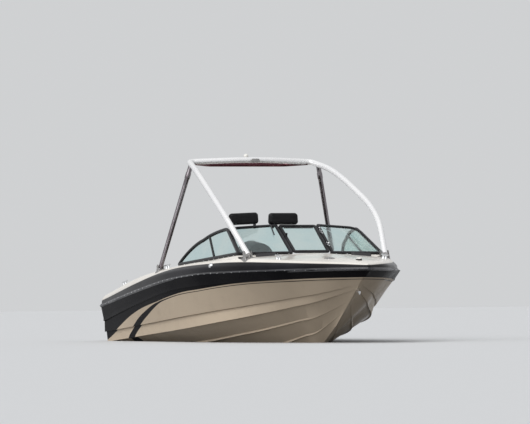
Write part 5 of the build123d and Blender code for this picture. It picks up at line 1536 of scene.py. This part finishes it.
stitch = turned("stitch", [(0.0002, -0.0026), (0.0007, -0.0020), (0.0007, 0.0020), (0.0002, 0.0026)], 6)
stitch.data.transform(Matrix.Rotation(math.radians(90), 4, "Y"))
thread = grained_finish("thread", (0.50, 0.48, 0.44), (0.40, 0.38, 0.34), 0.0008, (0.5, 0.7))
seam_paths, welts = ({"boat": [], "engine_cover": [], "stern_lid": []} for _ in range(2))
for obj, body, _, node, _, (low, high) in PADS:
    size = high - low
    middle = (low + high) / 2
    if size.z < min(size.x, size.y) * 0.5 or "locker" in obj.name:
        facing, runs_along, steps_across = (0, 0, 1), 0, 1
    elif size.x < size.y * 0.6:
        facing = (1 if node != "observer_seat" else -1, 0, 0)
        runs_along, steps_across = 2, 1
    else:
        facing, runs_along, steps_across = (0, -1 if middle.y > 0 else 1, 0), 0, None
    if steps_across is None:
        if node != "side_pads":
            continue
        slope = (PAD_FRONT[1] - PAD_AFT[1]) / (PAD_FRONT[0] - PAD_AFT[0])
        places = [PAD_HEIGHT / 2]
        press_channels(obj, lambda p: p.z - PAD_AFT[1] - (p.x - PAD_AFT[0]) * slope, places, facing, 0.005)
        lines = [[Vector((low.x + 0.04 + (size.x - 0.08) * k / 90, middle.y, 0)) for k in range(91)]]
        for p in lines[0]:
            p.z = PAD_AFT[1] + (p.x - PAD_AFT[0]) * slope + places[0]
    else:
        pitch = 0.155 if "locker" in obj.name else 0.095
        if node == "engine_lid":
            runs_along, steps_across, pitch = 1, 0, 0.115
        count = int((size[steps_across] / 2 - 0.07) / pitch)
        places = [middle[steps_across] + pitch * k for k in range(-count, count + 1)]
        press_channels(obj, lambda p: p[steps_across], places, facing)
        lines = []
        for place in places:
            start, end = middle.copy(), middle.copy()
            start[steps_across] = end[steps_across] = place
            start[runs_along], end[runs_along] = low[runs_along] + 0.05, high[runs_along] - 0.05
            lines.append(evened([start, end], 0.02))
    tree = skin_of(obj)
    for line in lines:
        path = [hit for hit in (on_skin(tree, p, facing, 0.0004) for p in line) if hit is not None]
        if len(path) > 2:
            seam_paths[body].append(path)
    if obj.name in GUIDES:
        welts[body].append(welt_for(obj, GUIDES[obj.name]))
welt_finish = grained_finish("welt_vinyl", (0.035, 0.035, 0.04), (0.07, 0.07, 0.07), 0.002, (0.35, 0.5))
for body, paths in seam_paths.items():
    seams = repeat_along(body + "_stitches", paths, stitch, thread, STITCH_PITCH, 0.08, 11)
    dress(seams, body)
    if welts[body]:
        cord_round = joined(body + "_welts", *welts[body])
        dress(smooth(cord_round, 80), body, welt_finish)
for obj, body, finish, node, _, _ in PADS:
    dress(smooth(obj, 60), body, bpy.data.materials[finish], [node])
drop(stitch, screw)
print("pads dressed", len(PADS))

# %% [markdown]
# Under their pads both lids are moulded shells. The engine lid's shell is the solid below the pad, and the
# stern lid's is a thin tray that follows the deck.

# %% Shells of the two lids
shell = bpy.data.objects.new("engine_lid_shell", nodes["engine_lid"].data.copy())
scene.collection.objects.link(shell)
tidy_mesh(shell, 2e-5)
shell.data.materials.clear()
shell.data.materials.append(vinyl_dark)
above = prism("above", [(1.7, -0.5), (2.85, -0.5), (2.85, 0.5), (1.7, 0.5)], LID_SPLIT, 0.7, vinyl_dark)
cut(shell, above)
drop(above)
dress(smooth(shell, 30), "engine_cover", vinyl_dark, ["engine_lid"])
report(shell)
tray_rows = []
TRAY_AFT, TRAY_FORE, TRAY_HALF, TRAY_CORNER = 0.1155, 0.6245, 0.632, 0.095
for step in range(33):
    x = TRAY_AFT + (TRAY_FORE - TRAY_AFT) * (1 - math.cos(math.pi * step / 32)) / 2
    inside = max(TRAY_CORNER - min(x - TRAY_AFT, TRAY_FORE - x), 0.0)
    half_y = TRAY_HALF - TRAY_CORNER + math.sqrt(max(TRAY_CORNER**2 - inside**2, 0.0))
    tray_rows.append(lid_section(x, half_y, 0.0012, 0.007))
tray = ring_mesh("locker_lid_tray", tray_rows)
dress(smooth(tray, 30), "stern_lid", pale_gelcoat, ["locker_lid"])
report(tray)
# %% [markdown]
# ## Helm details
#
# A row of round gauges is set in the sloping top of the dash in front of the wheel, with rocker switches on
# the face below. A gauge is a bright bezel round a dark dial with pale ticks. The ticks and the switches
# repeat, so the same tree that set the screws sets them.

# %% Gauges and switches on the dash
DASH_LOW, DASH_EDGE, DASH_BACK = (Vector((x, 0, z)) for x, z in
                                  ((3.550, 0.600), (3.610, 0.800), (3.716, 0.880)))
GAUGES = [(-0.215, 0.024), (-0.085, 0.036), (0.085, 0.036), (0.215, 0.024)]
HELM_Y = -0.470


def plane_frame(low, high, share, y):
    """A matrix on the dash: Z out of the sloping surface, X across the boat."""
    run = (high - low).normalized()
    out = Vector((-run.z, 0, run.x))
    across = Vector((0, 1, 0))
    place = low.lerp(high, share)
    place.y = y
    up = out.cross(across)
    turn = Matrix((across, up, out)).transposed().to_4x4()
    return Matrix.Translation(place) @ turn


bezels, dials, tick_paths = [], [], []
tick_stamp = turned("tick", [(0.0005, 0.0), (0.0011, 0.0003), (0.0011, 0.0006), (0.0004, 0.0008)], 6)
for index, (offset, radius) in enumerate(GAUGES):
    spot = plane_frame(DASH_EDGE, DASH_BACK, 0.50, HELM_Y + offset)
    bezel = turned(f"bezel_{index}", [(radius * 0.86, 0.001), (radius * 0.86, 0.006), (radius * 0.90, 0.009),
                                      (radius * 0.98, 0.008), (radius * 1.04, 0.004),
                                      (radius * 1.05, -0.002)], 40)
    dial = turned(f"dial_{index}", [(radius * 0.88, 0.0005), (radius * 0.88, 0.0022), (0.0006, 0.0024)], 40)
    for piece in (bezel, dial):
        piece.data.transform(spot)
    bezels.append(bezel)
    dials.append(dial)
    arc = [math.radians(a) for a in range(-210, 31, 12)]
    tick_paths.append([(spot @ Vector((radius * 0.72 * math.cos(a), radius * 0.72 * math.sin(a), 0.0024)),
                        spot.to_3x3() @ Vector((0, 0, 1))) for a in arc])
dial_dark = grained_finish("dial", (0.015, 0.016, 0.018), (0.03, 0.03, 0.03), 0.002, (0.3, 0.4))
dress(smooth(joined("gauge_bezels", *bezels), 40), "boat", bright)
dress(smooth(joined("gauge_dials", *dials), 40), "boat", dial_dark)
ticks = repeat_along("gauge_ticks", tick_paths, tick_stamp, lens_white, 0.0042, 0.02, 5)
dress(ticks, "boat")
rocker = block_between("rocker", rounded_outline((-0.007, -0.013), (0.007, 0.013), 0.003, 3), flat,
                       -0.002, 0.007)
face_out = Vector((-(DASH_EDGE - DASH_LOW).z, 0, (DASH_EDGE - DASH_LOW).x)).normalized()
spots = [plane_frame(DASH_LOW, DASH_EDGE, 0.62, HELM_Y + 0.17 - 0.34 * k / 20) for k in range(21)]
row = [(spot.translation + face_out * 0.002, face_out) for spot in spots]
switches = repeat_along("rocker_switches", [row[:7], row[14:]], rocker, rubber, 0.022, 0.0, 7)
dress(smooth(switches, 40), "boat")
drop(tick_stamp, rocker)

# %% [markdown]
# The port side of the dash has a glove box with a padded door, and both coamings have a strip of vinyl trim
# below their pads. These are thin panels with a rolled edge, so they get one bevelled shape.

# %% Trim panels
def trim_panel(name, outline, place, low, high, roll):
    """A thin panel of dark vinyl with a rounded edge."""
    panel = block_between(name, outline, place, low, high)
    form = bmesh.new()
    form.from_mesh(panel.data)
    rim = [e for e in form.edges if e.calc_face_angle(0.0) > math.radians(60)]
    bmesh.ops.bevel(form, geom=rim, offset=roll, segments=3, profile=0.5, affect="EDGES", clamp_overlap=True)
    form.to_mesh(panel.data)
    form.free()
    return dress(smooth(tidy_mesh(panel), 50), "boat", vinyl_dark)


def on_dash(a, b, c):
    """Across the boat, up the face of the dash and out of it."""
    along = (DASH_EDGE - DASH_LOW).normalized()
    spot = DASH_LOW + along * b + face_out * c
    return (spot.x, a, spot.z)


trim_panel("glove_box_door", rounded_outline((0.33, 0.035), (0.61, 0.165), 0.02, 5), on_dash,
           -0.002, 0.012, 0.005)
TRIM_INNER, TRIM_OUTER = 0.888, 0.906
corners = [Vector((a, b, 0)) for a, b in ((1.36, 0.20), (3.42, 0.31), (3.42, 0.61), (1.36, 0.45))]
outline = [tuple(p)[:2] for p in closed_path(corners, [0.04] * 4, 4)]
for label, side in SIDES.items():
    report(trim_panel(f"coaming_trim_{label}", outline, along_side, side * TRIM_INNER, side * TRIM_OUTER,
                      0.006))
# %% [markdown]
# ## Small pieces on the deck and the centre panel
#
# A scupper on each side of the windshield drains the sill, a plate on the foredeck covers the anchor line's
# socket, and the centre panel is held shut by a turning latch against its gasket.

# %% Scuppers, foredeck plate, latch and gasket
def deck_plate(name, x, y, half_x, half_y, thick, finish):
    """A rounded plate that follows the deck under it."""
    corner = min(half_x, half_y) * 0.6
    outline = rounded_outline((x - half_x, y - half_y), (x + half_x, y + half_y), corner, 6)
    rings = [[(a, b, deck_height(a, b) + lift) for a, b in outline] for lift in (-0.004, thick * 0.6)]
    rings.append([(x + (a - x) * 0.93, y + (b - y) * 0.90, deck_height(a, b) + thick) for a, b in outline])
    return dress(smooth(ringed(name, rings), 40), "boat", finish)


for label, side in SIDES.items():
    deck_plate(f"scupper_{label}", 4.50, side * 0.868, 0.060, 0.011, 0.012, black_plastic)
deck_plate("foredeck_plate", 5.50, -0.185, 0.075, 0.045, 0.008, bracket_grey)
panel_turn = panel_normal.to_track_quat("Z", "Y").to_matrix().to_4x4()
latch_base = turned("latch_base", [(0.016, -0.002), (0.016, 0.004), (0.010, 0.007), (0.009, 0.016),
                                   (0.014, 0.019), (0.014, 0.026), (0.008, 0.029), (0.001, 0.0295)], 24)
latch_spot = Vector((4.158, -0.204, 1.194)) + panel_normal * FRAME_DEPTH / 2
latch_base.data.transform(Matrix.Translation(latch_spot) @ panel_turn)
dress(smooth(latch_base, 40), "windshield_panel", black_plastic)
gasket = straight_bar("panel_gasket", Vector((4.010, -0.175, 1.2905)), Vector((4.010, 0.175, 1.2905)),
                      panel_normal, 0.012, 0.012)
dress(smooth(gasket), "windshield_panel", rubber)
report(gasket)

# %% [markdown]
# A horn cleat is cast in one: two flared legs and a bar that thins and lifts a little towards its ends. The
# bar is lofted from ovals, the legs are turned, and a small frame on the deck stands them upright on its
# slope.

# %% Horn cleats
CLEATS, HORN_HALF, LEG_PITCH = [(5.080, 0.630), (0.780, 1.000), (2.500, 1.050)], 0.104, 0.040


def horn_bar():
    """The bar of one cleat along X, its middle above the origin."""
    rings = []
    for step in range(25):
        along = -math.cos(math.pi * step / 24)
        taper = max(1 - abs(along) ** 3.2, 0.0) ** 0.5
        half_y, half_z = 0.0035 + 0.0095 * taper, 0.003 + 0.0065 * taper
        middle = 0.0365 + 0.0065 * along**2
        rings.append([Vector((HORN_HALF * along, half_y * math.sin(a), middle - half_z * math.cos(a)))
                      for a in (math.radians(turn) for turn in range(0, 181, 18))])
    return ring_mesh("horn_bar", rings)


leg_profile = [(0.019, -0.006), (0.019, 0.003), (0.0135, 0.009), (0.0105, 0.018), (0.0115, 0.030),
               (0.001, 0.036)]
cleat_parts = []
for index, (x, y) in enumerate((x, y * side) for x, y in CLEATS for side in (1, -1)):
    step = 0.05
    fore, aft = (Vector((x + d, y, deck_height(x + d, y))) for d in (step, -step))
    inner, outer = (Vector((x, y + d, deck_height(x, y + d))) for d in (-0.02, 0.02))
    along = (fore - aft).normalized()
    up = along.cross(outer - inner).normalized()
    stand = Matrix.Translation((fore + aft) / 2) @ Matrix((along, up.cross(along), up)).transposed().to_4x4()
    bar = horn_bar()
    bar.data.transform(stand)
    cleat_parts.append(bar)
    for end in (-1, 1):
        leg = turned(f"cleat_leg_{index}_{end}", leg_profile, 20)
        leg.data.transform(stand @ Matrix.Translation((end * LEG_PITCH, 0, 0)))
        cleat_parts.append(leg)
cleats = smooth(tidy_mesh(joined("horn_cleats", *cleat_parts)), 50)
dress(cleats, "boat", bright, ["cleats"])
report(cleats)

# %% [markdown]
# Round the cockpit and round the stern locker the deck turns down in a skirt, a pale strip between the
# deck's edge and what stands below. It follows the opening's outline, just outside it.

# %% Skirts round the two openings
SKIRT_IN, SKIRT_OUT, SKIRT_TUCK, SKIRT_LAP = 0.0012, 0.0090, 0.006, 0.035


def skirt(name, low, high, radius):
    """A closed wall round an opening, from under the deck's top to just below the hull's edge."""
    outline = [Vector(p) for p in rounded_outline(low, high, radius, 14)]
    path = []
    for index, spot in enumerate(outline):
        ahead = outline[(index + 1) % len(outline)]
        parts = max(int((ahead - spot).length / 0.10), 1)
        path += [spot.lerp(ahead, k / parts) for k in range(parts)]
    rows = []
    for index, spot in enumerate(path):
        run = (path[(index + 1) % len(path)] - path[index - 1]).normalized()
        out = Vector((run.y, -run.x))
        top, foot = deck_height(spot.x, spot.y) - SKIRT_TUCK, sheer_z(spot.x) - SKIRT_LAP
        rows.append([Vector((*(spot + out * reach), z)) for reach, z in
                     ((SKIRT_IN, foot), (SKIRT_IN, top), (SKIRT_OUT, top), (SKIRT_OUT, foot))])
    return dress(smooth(ringed(name, rows, None), 40), "boat", pale_gelcoat)


report(skirt("coaming_skirt", (COCKPIT_AFT, -COCKPIT_HALF), (COCKPIT_FRONT, COCKPIT_HALF), COCKPIT_CORNER))
report(skirt("locker_skirt", LOCKER_LOW, LOCKER_HIGH, LOCKER_CORNER))
# %% [markdown]
# ## Floor, light and camera
#
# The floor is plain and pale and lies at the waterline. Two wide soft suns and a pale sky light the boat as
# a bright overcast day would, and the light that bounces off the floor is kept weak. The camera stands low
# and far off the starboard bow with a long lens, which is the angle of the photograph.

# %% Floor at the waterline
FLOOR_SIZE = 90.0
floor = make_piece("floor", [(-FLOOR_SIZE, -FLOOR_SIZE, 0), (FLOOR_SIZE, -FLOOR_SIZE, 0),
                             (FLOOR_SIZE, FLOOR_SIZE, 0), (-FLOOR_SIZE, FLOOR_SIZE, 0)], [(0, 1, 2, 3)])
BACKDROP = (0.66, 0.67, 0.68)


def shown_to(tree):
    """One for the rays that show the backdrop: to the camera, off a shine or through glass."""
    rays = add_node(tree, "ShaderNodeLightPath").outputs
    direct = math_node(tree, "MAXIMUM", rays["Is Camera Ray"], rays["Is Glossy Ray"])
    return math_node(tree, "MAXIMUM", direct, rays["Is Transmission Ray"])


floor_finish, tree, shader, position = start_finish("pale_floor", roughness=0.9, ior=1.05)
tree.links.new(mix_colours(tree, shown_to(tree), (0.15, 0.15, 0.15), BACKDROP), shader.inputs["Base Color"])
floor.data.materials.append(floor_finish)

# %% Sky and lamps
world = bpy.data.worlds.new("soft_sky")
scene.world = world
world.use_nodes = True
tree = world.node_tree
background = tree.nodes["Background"]
background.inputs["Color"].default_value = (0.86, 0.88, 0.91, 1.0)
background.inputs["Strength"].default_value = 0.55
backdrop = add_node(tree, "ShaderNodeBackground")
backdrop.inputs["Color"].default_value = (*BACKDROP, 1.0)
backdrop.inputs["Strength"].default_value = 0.95
blend_skies = add_node(tree, "ShaderNodeMixShader")
tree.links.new(shown_to(tree), blend_skies.inputs[0])
tree.links.new(background.outputs[0], blend_skies.inputs[1])
tree.links.new(backdrop.outputs[0], blend_skies.inputs[2])
tree.links.new(blend_skies.outputs[0], tree.nodes["World Output"].inputs[0])


def lamp(name, direction, spread, strength, colour=(1.0, 1.0, 1.0)):
    """A wide soft sun that shines along a direction."""
    data = bpy.data.lights.new(name, "SUN")
    data.angle, data.energy, data.color = math.radians(spread), strength, colour
    obj = bpy.data.objects.new(name, data)
    obj.rotation_euler = Vector(direction).to_track_quat("-Z", "Y").to_euler()
    scene.collection.objects.link(obj)
    return obj


lamp("key", (-0.45, 0.55, -1.0), 50, 1.45, (1.0, 0.98, 0.95))
lamp("fill", (-0.55, 0.80, -0.30), 60, 1.4, (0.98, 0.98, 1.0))

# %% Camera off the starboard bow
CAMERA_PLACE, CAMERA_LENS = Vector((59.428, -20.386, 0.6)), 354.4
CAMERA_AIM, CAMERA_ROLL = Vector((2.989, -0.030, 1.489)), -0.486
camera_data = bpy.data.cameras.new("camera")
camera_data.lens, camera_data.sensor_width = CAMERA_LENS, 36.0
camera_data.clip_start, camera_data.clip_end = 1.0, 400.0
camera = bpy.data.objects.new("camera", camera_data)
camera.location = CAMERA_PLACE
gaze = (CAMERA_AIM - CAMERA_PLACE).to_track_quat("-Z", "Y")
camera.rotation_mode = "QUATERNION"
camera.rotation_quaternion = gaze @ Matrix.Rotation(math.radians(CAMERA_ROLL), 3, "Z").to_quaternion()
scene.collection.objects.link(camera)
scene.camera = camera
scene.view_settings.view_transform = "Standard"
print("camera", [round(v, 2) for v in camera.location], "lens", camera_data.lens)
